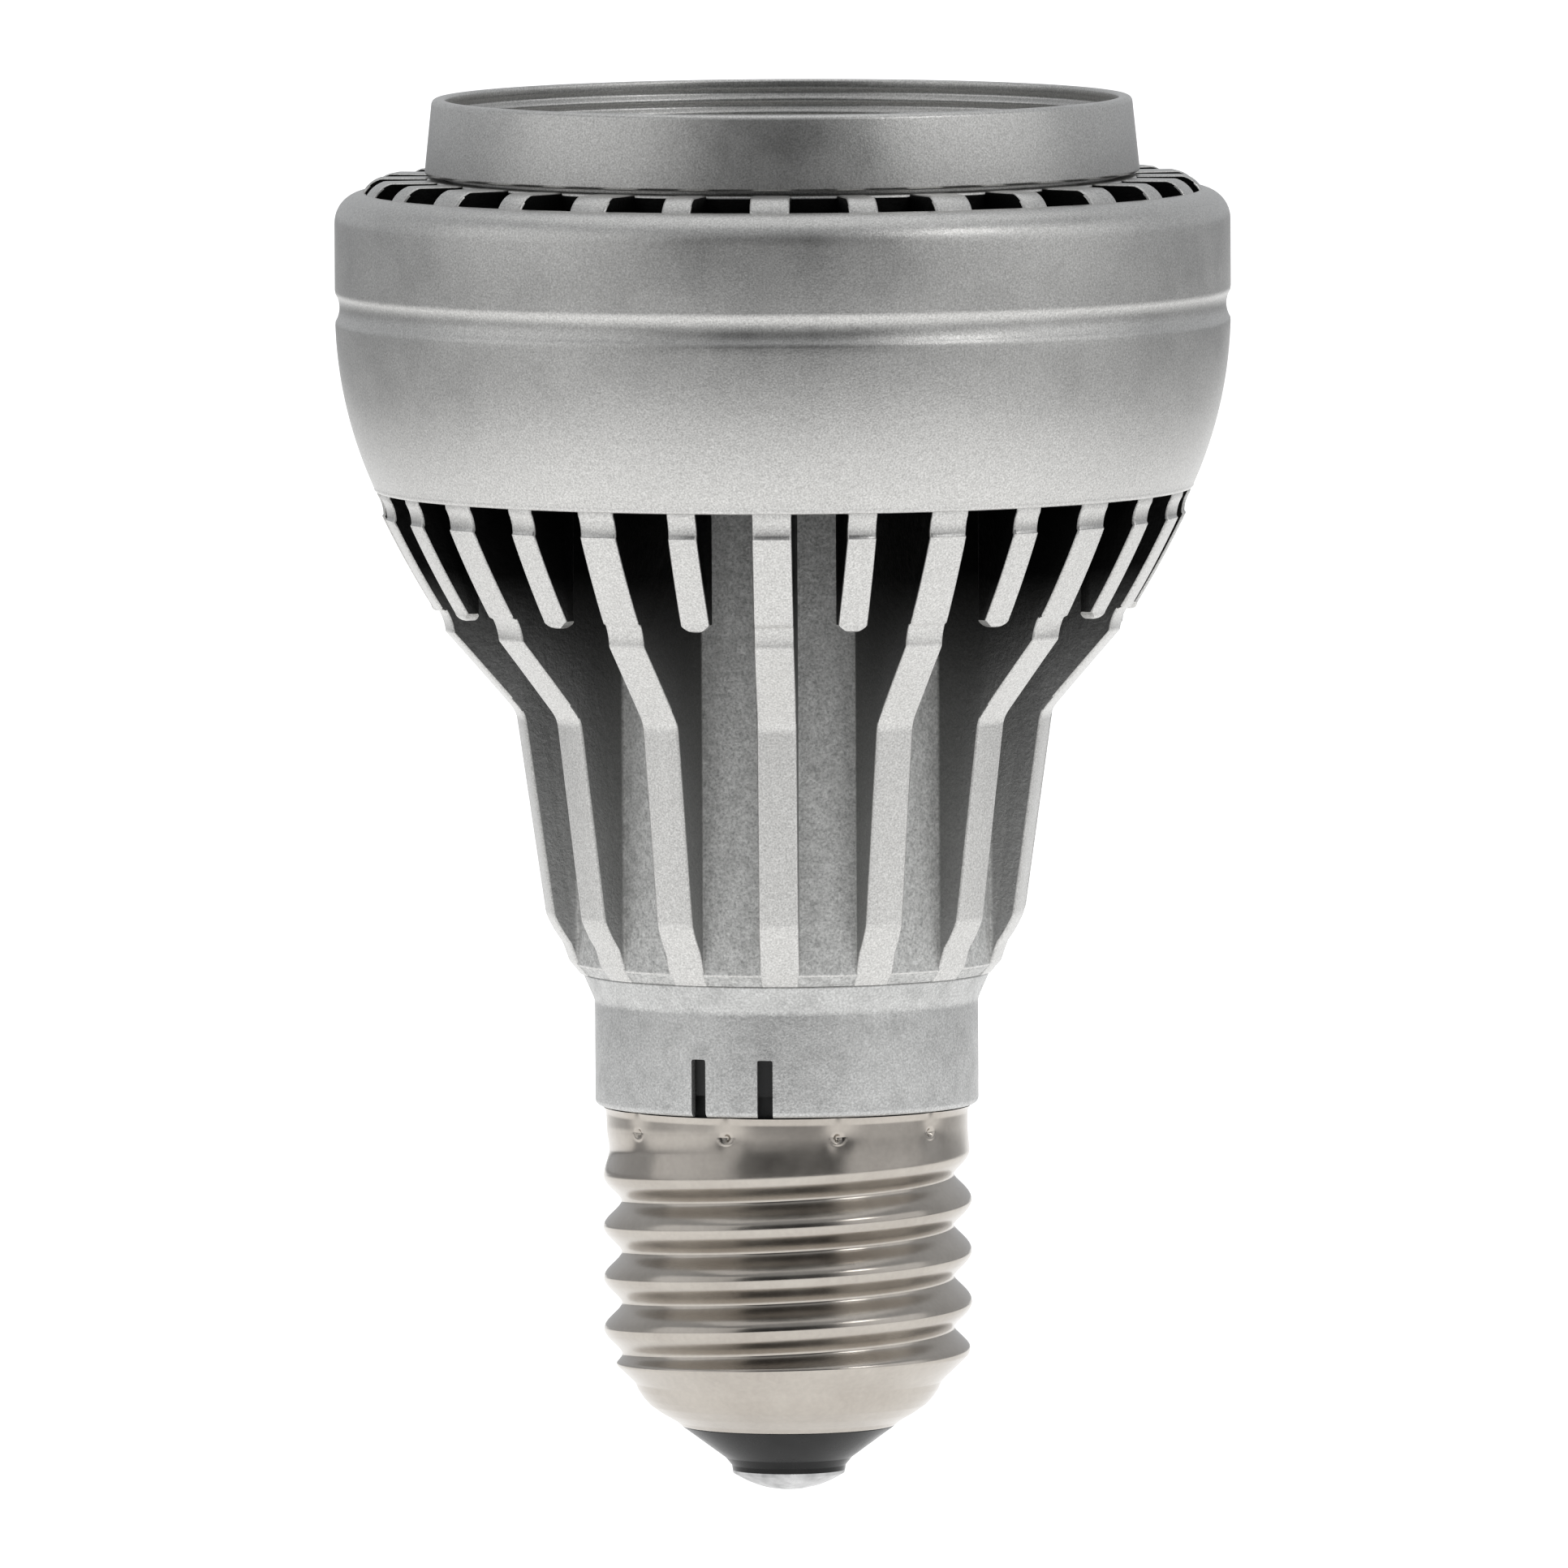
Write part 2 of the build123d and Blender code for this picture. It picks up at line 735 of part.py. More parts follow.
# transformer: a ferrite frame with a wound middle limb
ferrite_width = 12.0
ferrite_depth = 8.0
ferrite_height = 12.0
ferrite_bottom = 46.0
ferrite_gap = 1.0
ferrite_middle_y = driver_face + ferrite_gap + ferrite_depth / 2
window_width = 3.2
window_height = 7.5
window_bottom = ferrite_bottom + (ferrite_height - window_height) / 2
limb_radius = 1.9
coil_radius = 3.9
with BuildPart() as transformer_core:
    with BuildSketch(Plane.XY.offset(ferrite_bottom)):
        with Locations((0, ferrite_middle_y)):
            Rectangle(ferrite_width, ferrite_depth)
    extrude(amount=ferrite_height)
    with BuildSketch(Plane.XY.offset(window_bottom)):
        with Locations((0, ferrite_middle_y)):
            Rectangle(2 * (window_width + limb_radius), ferrite_depth)
            Circle(limb_radius, mode=Mode.SUBTRACT)
    extrude(amount=window_height, mode=Mode.SUBTRACT)
transformer_core.part.label = "transformer_core"
export_step(transformer_core.part, "parts/transformer_core.step")

with BuildPart() as transformer_coil:
    with BuildSketch(Plane.XY.offset(window_bottom)):
        with Locations((0, ferrite_middle_y)):
            Circle(coil_radius)
            Circle(limb_radius, mode=Mode.SUBTRACT)
    extrude(amount=window_height)
transformer_coil.part.label = "transformer_coil"
export_step(transformer_coil.part, "parts/transformer_coil.step")

can_edge_round = 0.4
box_edge_chamfer = 0.25
# cans stand along the board: name, x, y, bottom, radius, height
cans = [
    ("input_capacitor", 4.8, driver_face + 4.2, 32.2, 4.0, 12.0),
    ("output_capacitor", 6.0, driver_face + 3.3, 60.0, 3.1, 9.0),
    ("choke_coil", 4.0, -driver_face - 3.5, 36.0, 3.3, 8.0),
    ("fuse_resistor", -6.5, -driver_face - 1.7, 36.0, 1.5, 8.0),
]
for name, x, y, bottom, radius, height in cans:
    with BuildPart() as can:
        with BuildSketch(Plane.XY.offset(bottom)):
            with Locations((x, y)):
                Circle(radius)
        extrude(amount=height)
        fillet(can.edges().filter_by(GeomType.CIRCLE), can_edge_round)
    can.part.label = name
    export_step(can.part, f"parts/{name}.step")

# boxes sit on either face of the board: name, x, side, bottom, width, depth, height
boxes = [
    ("film_capacitor", -4.6, 1, 32.2, 5.5, 5.5, 10.0),
    ("bridge_rectifier", 0.0, -1, 26.0, 4.8, 2.5, 4.0),
    ("driver_chip", 1.0, -1, 50.0, 5.0, 1.6, 4.0),
    ("power_transistor", -2.5, -1, 57.0, 6.5, 2.3, 6.0),
]
for name, x, side, bottom, width, depth, height in boxes:
    with BuildPart() as box:
        with BuildSketch(Plane.XY.offset(bottom)):
            with Locations((x, side * (driver_face + depth / 2))):
                Rectangle(width, depth)
        extrude(amount=height)
        chamfer(box.edges().filter_by(Axis.X), box_edge_chamfer)
    box.part.label = name
    export_step(box.part, f"parts/{name}.step")

# ---------------------------------------------------------------- cap wires
# Each wire runs through its points, with bends between them.
solder_height = 30.0
weld_height = first_crest - 1.5 * thread_pitch
wire_y = driver_face + cap_wire_radius
routes = {
    "live_wire": [
        (0, 0, stem_top),
        (0, 0, 14.0),
        (-3.0, wire_y, 20.0),
        (-3.0, wire_y, solder_height),
    ],
    "neutral_wire": [
        (root_radius - sheet - wire_clearance, 0, weld_height),
        (6.0, 0, weld_height),
        (5.0, wire_y, 20.5),
        (5.0, wire_y, solder_height),
    ],
}
for name, route in routes.items():
    with BuildPart() as cap_wire:
        with BuildLine() as wire_line:
            FilletPolyline(*route, radius=cap_wire_bend)
        with BuildSketch(Plane(origin=route[0], z_dir=wire_line.line % 0)):
            Circle(cap_wire_radius)
        sweep(path=wire_line.line)
    cap_wire.part.label = name
    export_step(cap_wire.part, f"parts/{name}.step")
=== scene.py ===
"""Looks of the LED reflector lamp: meshes, materials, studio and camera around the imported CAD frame.

Lengths are millimetres in the CAD frame until an outline becomes a mesh, which is in metres.
The studio, the camera and the feature scales of the materials are in metres.
"""
import json
import math

import bmesh
import bpy
import numpy as np
from mathutils import Matrix, Quaternion, Vector

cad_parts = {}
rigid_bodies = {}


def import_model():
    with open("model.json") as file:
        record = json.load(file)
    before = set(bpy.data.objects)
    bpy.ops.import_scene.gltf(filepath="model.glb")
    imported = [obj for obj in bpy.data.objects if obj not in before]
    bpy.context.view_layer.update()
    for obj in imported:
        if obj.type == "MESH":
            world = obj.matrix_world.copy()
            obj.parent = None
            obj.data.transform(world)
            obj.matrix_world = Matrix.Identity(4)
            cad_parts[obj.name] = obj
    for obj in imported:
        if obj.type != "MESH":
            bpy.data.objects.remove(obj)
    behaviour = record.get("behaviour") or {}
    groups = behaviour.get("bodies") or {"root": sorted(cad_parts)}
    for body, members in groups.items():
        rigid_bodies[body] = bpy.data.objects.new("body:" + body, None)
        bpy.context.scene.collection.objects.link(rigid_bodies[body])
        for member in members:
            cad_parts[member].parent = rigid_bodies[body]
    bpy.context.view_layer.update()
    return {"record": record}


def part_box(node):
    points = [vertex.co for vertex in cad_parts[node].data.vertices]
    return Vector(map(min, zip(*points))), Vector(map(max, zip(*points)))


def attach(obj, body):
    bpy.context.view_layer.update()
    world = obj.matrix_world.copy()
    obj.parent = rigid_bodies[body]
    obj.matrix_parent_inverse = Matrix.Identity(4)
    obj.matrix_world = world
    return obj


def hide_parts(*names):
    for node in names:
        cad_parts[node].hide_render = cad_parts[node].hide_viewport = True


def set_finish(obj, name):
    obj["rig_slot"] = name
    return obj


for leftover in list(bpy.data.objects):
    bpy.data.objects.remove(leftover)

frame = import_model()

MM = 0.001
ROUND_STEPS = 5
EDGE_SEGMENTS = 3
TURN_STEPS = 256
OPTIC_STEPS = 128
SHARP_ANGLE = 32


def span(node):
    """Bottom and top of a CAD node and its outer radius, in millimetres."""
    low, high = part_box(node)
    return low.z / MM, high.z / MM, (high.x - low.x) / 2 / MM


# ------------------------------------------------------------------ outlines
def arc(start, middle, end, steps=12):
    """Points of the circle through three points, from start to end, both included."""
    (ax, ay), (bx, by), (cx, cy) = start, middle, end
    d = 2 * (ax * (by - cy) + bx * (cy - ay) + cx * (ay - by))
    a2, b2, c2 = ax * ax + ay * ay, bx * bx + by * by, cx * cx + cy * cy
    ox = (a2 * (by - cy) + b2 * (cy - ay) + c2 * (ay - by)) / d
    oy = (a2 * (cx - bx) + b2 * (ax - cx) + c2 * (bx - ax)) / d
    radius = math.hypot(ax - ox, ay - oy)
    first = math.atan2(ay - oy, ax - ox)
    last = math.atan2(cy - oy, cx - ox)
    through = math.atan2(by - oy, bx - ox)
    turn = (last - first) % (2 * math.pi)
    if (through - first) % (2 * math.pi) > turn:
        turn -= 2 * math.pi
    return [
        (ox + radius * math.cos(first + turn * i / steps), oy + radius * math.sin(first + turn * i / steps))
        for i in range(steps + 1)
    ]


def rounded(corners):
    """A closed outline whose corners (r, z, radius) are rounded by that radius where it isn't 0."""
    points = []
    for i, (x, y, radius) in enumerate(corners):
        if radius == 0:
            points.append((x, y))
            continue
        here = Vector((x, y))
        before = (Vector(corners[i - 1][:2]) - here).normalized()
        after = (Vector(corners[(i + 1) % len(corners)][:2]) - here).normalized()
        half = before.angle(after) / 2
        reach = radius / math.tan(half)
        centre = here + (before + after).normalized() * (radius / math.sin(half))
        middle = centre + (here - centre).normalized() * radius
        points += arc(tuple(here + before * reach), tuple(middle), tuple(here + after * reach), ROUND_STEPS)
    return points


# ------------------------------------------------------------------ mesh makers
def make_object(name, mesh):
    obj = bpy.data.objects.new(name, mesh)
    bpy.context.scene.collection.objects.link(obj)
    return obj


def finish_mesh(obj, sharp_angle=SHARP_ANGLE):
    """Welds doubles, turns normals outwards and shades smooth except at sharp edges."""
    mesh = obj.data
    work = bmesh.new()
    work.from_mesh(mesh)
    bmesh.ops.remove_doubles(work, verts=work.verts, dist=1e-7)
    bmesh.ops.dissolve_degenerate(work, edges=work.edges, dist=1e-7)
    bmesh.ops.recalc_face_normals(work, faces=work.faces)
    work.to_mesh(mesh)
    work.free()
    mesh.shade_smooth()
    mesh.set_sharp_from_angle(angle=math.radians(sharp_angle))
    return obj


def turned(name, outline, centre=(0.0, 0.0), steps=TURN_STEPS, sharp_angle=SHARP_ANGLE):
    """A solid turned about the vertical axis through centre from a closed (r, z) outline in millimetres."""
    angles = np.linspace(0, 2 * math.pi, steps, endpoint=False)
    verts = [
        ((centre[0] + r * math.cos(a)) * MM, (centre[1] + r * math.sin(a)) * MM, z * MM)
        for r, z in outline
        for a in angles
    ]
    count = len(outline)
    faces = []
    for i in range(count):
        j = (i + 1) % count
        if outline[i][0] < 1e-9 and outline[j][0] < 1e-9:
            continue
        for k in range(steps):
            n = (k + 1) % steps
            faces.append((i * steps + k, i * steps + n, j * steps + n, j * steps + k))
    mesh = bpy.data.meshes.new(name)
    mesh.from_pydata(verts, [], faces)
    return finish_mesh(make_object(name, mesh), sharp_angle)


def plate(name, outline, thickness, edge=0.0):
    """A flat plate in the XZ plane from a closed (x, z) outline, with its long edges rounded."""
    work = bmesh.new()
    near = [work.verts.new((x * MM, -thickness / 2 * MM, z * MM)) for x, z in outline]
    far = [work.verts.new((x * MM, thickness / 2 * MM, z * MM)) for x, z in outline]
    work.faces.new(near)
    work.faces.new(list(reversed(far)))
    count = len(outline)
    for i in range(count):
        j = (i + 1) % count
        work.faces.new((near[j], near[i], far[i], far[j]))
    bmesh.ops.recalc_face_normals(work, faces=work.faces)
    if edge:
        rims = [e for e in work.edges if abs(e.verts[0].co.y - e.verts[1].co.y) < 1e-9]
        bmesh.ops.bevel(
            work,
            geom=rims,
            offset=edge * MM,
            segments=EDGE_SEGMENTS,
            profile=0.5,
            affect="EDGES",
            clamp_overlap=True,
        )
    mesh = bpy.data.meshes.new(name)
    work.to_mesh(mesh)
    work.free()
    return make_object(name, mesh)


def turned_copy(obj, angle):
    """A copy of obj turned about the lamp's axis by an angle in degrees, with its mesh moved."""
    mesh = obj.data.copy()
    mesh.transform(Matrix.Rotation(math.radians(angle), 4, "Z"))
    return make_object(obj.name, mesh)


def combine(name, base, others, operation="UNION"):
    """One closed mesh from base and others; the others are used up."""
    for other in others:
        modifier = base.modifiers.new("join", "BOOLEAN")
        modifier.operation = operation
        modifier.solver = "MANIFOLD"
        modifier.object = other
    evaluated = base.evaluated_get(bpy.context.evaluated_depsgraph_get())
    mesh = bpy.data.meshes.new_from_object(evaluated)
    for used in [base, *others]:
        bpy.data.objects.remove(used)
    return make_object(name, mesh)


# ------------------------------------------------------------------ heat sink
SINK_BOTTOM, CUP_TOP, COLLAR_RADIUS = span("heat_sink")
CORE_RADIUS = 15.3
CORE_BORE = 13.0
CUP_RADIUS = 25.2
CUP_BORE = 24.0
CUP_LEDGE = 23.0
CUP_CONE_BOTTOM, CUP_CONE_TOP = 74.0, 80.5
FOOT_CHAMFER = 0.8
PLATFORM_BOTTOM, PLATFORM_TOP = 79.0, 83.0
WIRE_HOLE_RADIUS = 2.2
SKIRT_BOTTOM = span("lens_ring")[0]
COLLAR_TOP, COLLAR_BOTTOM = 92.4, 71.2
COLLAR_BORE = 29.5
BAND_TOP, BAND_BOTTOM, BAND_GROOVE_BOTTOM = 90.2, 85.5, 83.0
FIN_PAIRS = 14
LONG_FIN, SHORT_FIN = 2.8, 2.1
FIN_EDGE = 0.22

# outer edge of a fin under the collar, from the collar's foot through the cove to the tip of a short fin
FIN_FACE = [(28.9, 71.35)]
FIN_FACE += arc((28.8, 70.9), (28.5, 70.25), (28.38, 69.55), 8)
FIN_FACE += arc((28.48, 69.4), (26.68, 65.9), (25.05, 63.1), 14)
# the rest of a long fin's edge: bead, slope, kink and foot
LONG_FACE = (
    [(24.74, 62.97)]
    + arc((24.66, 62.85), (24.38, 62.2), (24.22, 61.45), 8)
    + arc((24.16, 61.35), (21.95, 58.85), (19.6, 56.15), 10)
    + arc((19.45, 55.95), (19.22, 55.55), (19.1, 55.1), 4)
    + [(17.14, 41.5)]
    + arc((17.08, 41.2), (16.55, 40.15), (15.95, 39.25), 6)
    + [(15.8, 38.9), (15.52, 38.1), (15.42, 37.85), (14.62, SINK_BOTTOM)]
)
FIN_SHOULDER, FIN_SHOULDER_RADIUS = 81.0, 24.6
SHORT_FIN_INSIDE = 24.0
TIP_BOTTOM, TIP_SAG, TIP_STEPS = 62.6, 0.55, 17
SHORT_TIP = arc((25.02, 62.98), (24.9, 62.75), (24.6, TIP_BOTTOM), 4) + [(SHORT_FIN_INSIDE, TIP_BOTTOM)]
# the rounded outer end of a vent spoke, then the edge buried in the collar's wall
SPOKE = [(28.3, CUP_TOP)] + arc((28.5, CUP_TOP - 0.02), (29.15, 93.05), (29.8, COLLAR_TOP - 0.15), 6)
INSIDE_COLLAR = [(30.2, 84.0), (29.7, 77.0)]
COLLAR_LINING = [(COLLAR_BORE, 84.0), (29.2, 79.0), (27.6, COLLAR_BOTTOM + 0.15)]


def round_tip(fin):
    """Cuts the foot of a short fin to an arc across its thickness."""
    reach, below, width, tip_radius = 4, 60, 12, 25
    half = SHORT_FIN / 2
    outline = [(-reach, below), (reach, below), (reach, TIP_BOTTOM + TIP_SAG)]
    outline += [(half * t, TIP_BOTTOM + TIP_SAG * t * t) for t in np.linspace(1, -1, TIP_STEPS)]
    outline += [(-reach, TIP_BOTTOM + TIP_SAG)]
    cutter = plate("tip", outline, width)
    cutter.data.transform(Matrix.Rotation(math.pi / 2, 4, "Z"))
    cutter.data.transform(Matrix.Translation((tip_radius * MM, 0, 0)))
    modifier = fin.modifiers.new("tip", "BOOLEAN")
    modifier.operation = "DIFFERENCE"
    modifier.solver = "MANIFOLD"
    modifier.object = cutter
    fin.data = bpy.data.meshes.new_from_object(fin.evaluated_get(bpy.context.evaluated_depsgraph_get()))
    fin.modifiers.clear()
    bpy.data.objects.remove(cutter)


def heat_sink():
    """The die casting: core tube with LED cup, collar, long fins to the neck and short hanging fins."""
    core = turned(
        "core",
        rounded(
            [
                (CORE_BORE, SINK_BOTTOM, 0),
                (CORE_RADIUS - FOOT_CHAMFER, SINK_BOTTOM, 0.05),
                (CORE_RADIUS, SINK_BOTTOM + FOOT_CHAMFER, 0.3),
                (CORE_RADIUS, CUP_CONE_BOTTOM, 0),
                (CUP_RADIUS, CUP_CONE_TOP, 0),
                (CUP_RADIUS, CUP_TOP, 0.25),
                (CUP_BORE, CUP_TOP, 0.25),
                (CUP_BORE, SKIRT_BOTTOM, 0),
                (CUP_LEDGE, SKIRT_BOTTOM, 0),
                (CUP_LEDGE, PLATFORM_TOP, 0),
                (WIRE_HOLE_RADIUS, PLATFORM_TOP, 0),
                (WIRE_HOLE_RADIUS, PLATFORM_BOTTOM, 0),
                (CORE_BORE, PLATFORM_BOTTOM, 0),
            ]
        ),
    )
    groove_middle = (COLLAR_RADIUS - 0.32, (BAND_BOTTOM + BAND_GROOVE_BOTTOM) / 2)
    collar = turned(
        "collar",
        COLLAR_LINING
        + [(27.75, COLLAR_BOTTOM)]
        + arc((28.8, COLLAR_BOTTOM), (29.0, COLLAR_BOTTOM + 0.08), (29.08, COLLAR_BOTTOM + 0.3), 3)
        + arc((29.12, COLLAR_BOTTOM + 0.4), (31.05, 77.5), (COLLAR_RADIUS - 0.02, BAND_GROOVE_BOTTOM), 24)
        + arc(
            (COLLAR_RADIUS - 0.04, BAND_GROOVE_BOTTOM + 0.25),
            groove_middle,
            (COLLAR_RADIUS - 0.04, BAND_BOTTOM - 0.25),
            12,
        )
        + [(COLLAR_RADIUS, BAND_BOTTOM), (COLLAR_RADIUS, BAND_TOP)]
        + arc((COLLAR_RADIUS - 0.02, BAND_TOP + 0.3), (31.15, 91.75), (29.75, COLLAR_TOP), 12)
        + [(COLLAR_BORE, COLLAR_TOP - 0.12)],
        sharp_angle=50,
    )
    inner = (CORE_RADIUS + CORE_BORE) / 2
    upper_edge = SPOKE + INSIDE_COLLAR + FIN_FACE
    long_back = [(inner, SINK_BOTTOM), (inner, FIN_SHOULDER)]
    long_back += [(FIN_SHOULDER_RADIUS, FIN_SHOULDER), (FIN_SHOULDER_RADIUS, CUP_TOP)]
    short_back = [(SHORT_FIN_INSIDE, CUP_TOP)]
    long_fin = plate("long_fin", long_back + upper_edge + LONG_FACE, LONG_FIN, FIN_EDGE)
    short_fin = plate("short_fin", short_back + upper_edge + SHORT_TIP, SHORT_FIN, FIN_EDGE)
    round_tip(short_fin)
    step = 360 / FIN_PAIRS
    fins = [turned_copy(long_fin, -90 + step * i) for i in range(FIN_PAIRS)]
    fins += [turned_copy(short_fin, -90 + step * (i + 0.5)) for i in range(FIN_PAIRS)]
    for used in (long_fin, short_fin):
        bpy.data.objects.remove(used)
    whole = combine("heat_sink_casting", core, [collar, *fins])
    finish_mesh(whole, 38)
    return whole


sink = heat_sink()
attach(sink, "root")
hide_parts("heat_sink")
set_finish(sink, "satin_silver")


# ------------------------------------------------------------------ front ring and lens stack
def front_ring():
    """The turned ring: tapered band, grooved bore, lip over the lens, and a screwed skirt inside the cup."""
    bottom, top, foot_radius = span("lens_ring")
    band_bottom, top_radius, bore = 93.65, 24.8, 23.9
    lip_bottom, lip_top, lip_radius = 94.6, 95.3, 22.2
    skirt, skirt_bore, clip_groove = 23.92, 22.9, 23.2
    groove_count, groove_pitch, groove_depth, groove_steps = 3, 0.95, 0.28, 10
    thread_pitch, thread_depth, thread_rows = 1.5, 0.28, 40
    plain_foot, plain_neck = 0.3, 0.5
    outline = rounded(
        [
            (skirt_bore, bottom, 0.15),
            (skirt, bottom, 0.25),
            (skirt, band_bottom, 0),
            (foot_radius, band_bottom, 0.22),
            (top_radius, top, 0.4),
            (bore, top, 0.2),
        ]
    )
    # the rounded grooves of the bore, drawn downwards
    first = top - groove_pitch / 2
    for i in range(groove_count * groove_steps + 1):
        wave = 0.5 - 0.5 * math.cos(2 * math.pi * i / groove_steps)
        outline.append((bore + groove_depth * wave, first - groove_pitch * i / groove_steps))
    clip_low, clip_high, _ = span("lens_clip")
    outline += rounded(
        [
            (bore, lip_top, 0),
            (lip_radius, lip_top, 0.15),
            (lip_radius, lip_bottom, 0.1),
            (skirt_bore, lip_bottom, 0),
            (skirt_bore, clip_high, 0),
            (clip_groove, clip_high, 0),
            (clip_groove, clip_low, 0),
            (skirt_bore, clip_low, 0),
        ]
    )
    ring = turned("lens_ring_turned", outline)
    # the skirt's screw thread is cut in as a helix
    mesh = ring.data
    work = bmesh.new()
    work.from_mesh(mesh)

    def on_skirt(vertex):
        return abs(math.hypot(vertex.co.x, vertex.co.y) / MM - skirt) < 0.01

    def height(edge):
        return abs(edge.verts[0].co.z - edge.verts[1].co.z)

    tall = [edge for edge in work.edges if all(map(on_skirt, edge.verts)) and height(edge) > 2 * MM]
    bmesh.ops.subdivide_edges(work, edges=tall, cuts=thread_rows, use_grid_fill=True)
    for v in work.verts:
        z = v.co.z / MM
        if on_skirt(v) and bottom + plain_foot < z < band_bottom - plain_neck:
            phase = (z - thread_pitch * math.atan2(v.co.y, v.co.x) / (2 * math.pi)) / thread_pitch
            v.co.xy *= 1 - thread_depth * (0.5 - 0.5 * math.cos(2 * math.pi * phase)) / skirt
    work.to_mesh(mesh)
    work.free()
    mesh.set_sharp_from_angle(angle=math.radians(35))
    return ring


ring = front_ring()
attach(ring, "ring")
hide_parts("lens_ring")
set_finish(ring, "satin_silver")


def disc(name, node, edge, hole=0.0):
    """A flat turned disc or ring the size of a CAD node, with eased edges."""
    bottom, top, radius = span(node)
    inner_edge = edge if hole else 0
    inside = [(hole, top, inner_edge), (hole, bottom, inner_edge)]
    return turned(name, rounded([inside[1], (radius, bottom, edge), (radius, top, edge), inside[0]]))


GASKET_HOLE = 21.8
cover = disc("front_lens_clear", "front_lens", 0.2)
gasket = disc("lens_gasket_moulded", "lens_gasket", 0.25, GASKET_HOLE)
for piece, node, slot_name in ((cover, "front_lens", "lens_clear"), (gasket, "lens_gasket", "gasket_rubber")):
    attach(piece, "lens")
    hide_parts(node)
    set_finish(piece, slot_name)


# ------------------------------------------------------------------ optics
OPTIC_ANGLES = (90, 210, 330)
LED_CIRCLE = 11.4
FLANGE_THICKNESS, FLANGE_WIDTH = 0.8, 0.5
POCKET_RADIUS, FOOT_RADIUS = 2.2, 4.0
DISH_DEPTH = 1.1
RIDGE_COUNT, RIDGE_PITCH, FIRST_RIDGE = 7, 0.85, 3.4


def optic_outline(number):
    """Half section of a collimating optic: LED pocket, bowl, flange, fine face ridges and centre dish."""
    foot, top, radius = span(f"tir_optic_{number}")
    flange = top - FLANGE_THICKNESS
    bowl_top = (radius - FLANGE_WIDTH, flange)
    floor = top - DISH_DEPTH
    dish = [(0, floor)] + arc((1.6, floor), (2.1, top - 1.0), (2.4, top - 0.6), 4) + [(2.6, top - 0.12)]
    face = []
    for i in range(RIDGE_COUNT):
        middle = FIRST_RIDGE + i * RIDGE_PITCH
        face += [(middle - 0.4, top - 0.05), (middle, top - 0.16), (middle + 0.4, top - 0.05)]
    return (
        [(0, foot + 2.7)]
        + arc((0.9, foot + 2.65), (1.5, foot + 2.55), (2.1, foot + 2.3), 4)
        + [(POCKET_RADIUS, foot), (FOOT_RADIUS, foot)]
        + arc((FOOT_RADIUS + 0.05, foot + 0.05), (7.0, 88.6), bowl_top, 20)
        + rounded([(*bowl_top, 0), (radius, flange, 0.1), (radius, top, 0.15)])
        + list(reversed(face))
        + list(reversed(dish))
    )


for number, angle in enumerate(OPTIC_ANGLES, start=1):
    centre = (LED_CIRCLE * math.cos(math.radians(angle)), LED_CIRCLE * math.sin(math.radians(angle)))
    optic = turned(f"tir_optic_moulded_{number}", optic_outline(number), centre, OPTIC_STEPS)
    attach(optic, "root")
    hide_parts(f"tir_optic_{number}")
    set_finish(optic, "optic_clear")


# ------------------------------------------------------------------ neck sleeve
NECK_BOTTOM, NECK_TOP, NECK_TOP_RADIUS = span("neck_sleeve")
NECK_RADIUS = 13.6
NECK_BORE, SKIRT_BORE, BORE_STEP = 12.95, 13.05, 31.6
CHAMFER_BOTTOM, CHAMFER_BLEND = 34.95, 1.2
TONGUE_ANGLE, SLOT_SPREAD = -105.25, 10.4
SLOT_WIDTH, SLOT_HEIGHT, SLOT_CUT = 1.1, 4.1, 4


def neck():
    """The sleeve under the fins, with its chamfered top and two snap tongues freed by slots."""
    sleeve = turned(
        "sleeve",
        rounded(
            [
                (SKIRT_BORE, NECK_BOTTOM, 0.1),
                (NECK_RADIUS, NECK_BOTTOM, 0.42),
                (NECK_RADIUS, CHAMFER_BOTTOM, CHAMFER_BLEND),
                (NECK_TOP_RADIUS, NECK_TOP, 0.12),
                (NECK_BORE, NECK_TOP, 0),
                (NECK_BORE, BORE_STEP, 0),
                (SKIRT_BORE, BORE_STEP, 0),
            ]
        ),
    )
    half, below, slot_top = SLOT_WIDTH / 2, NECK_BOTTOM - 1, NECK_BOTTOM + SLOT_HEIGHT
    outline = rounded([(-half, below, 0), (half, below, 0), (half, slot_top, 0.15), (-half, slot_top, 0.15)])
    cutters = []
    for turn in (0, 180):
        for side in (-1, 1):
            cutter = plate("slot", outline, SLOT_CUT)
            cutter.data.transform(Matrix.Translation((0, -NECK_RADIUS * MM, 0)))
            angle = TONGUE_ANGLE + 90 + side * SLOT_SPREAD + turn
            cutter.data.transform(Matrix.Rotation(math.radians(angle), 4, "Z"))
            cutters.append(cutter)
    whole = combine("neck_sleeve_moulding", sleeve, cutters, "DIFFERENCE")
    return finish_mesh(whole, 38)


sleeve = neck()
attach(sleeve, "root")
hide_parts("neck_sleeve")
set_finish(sleeve, "neck_silver")


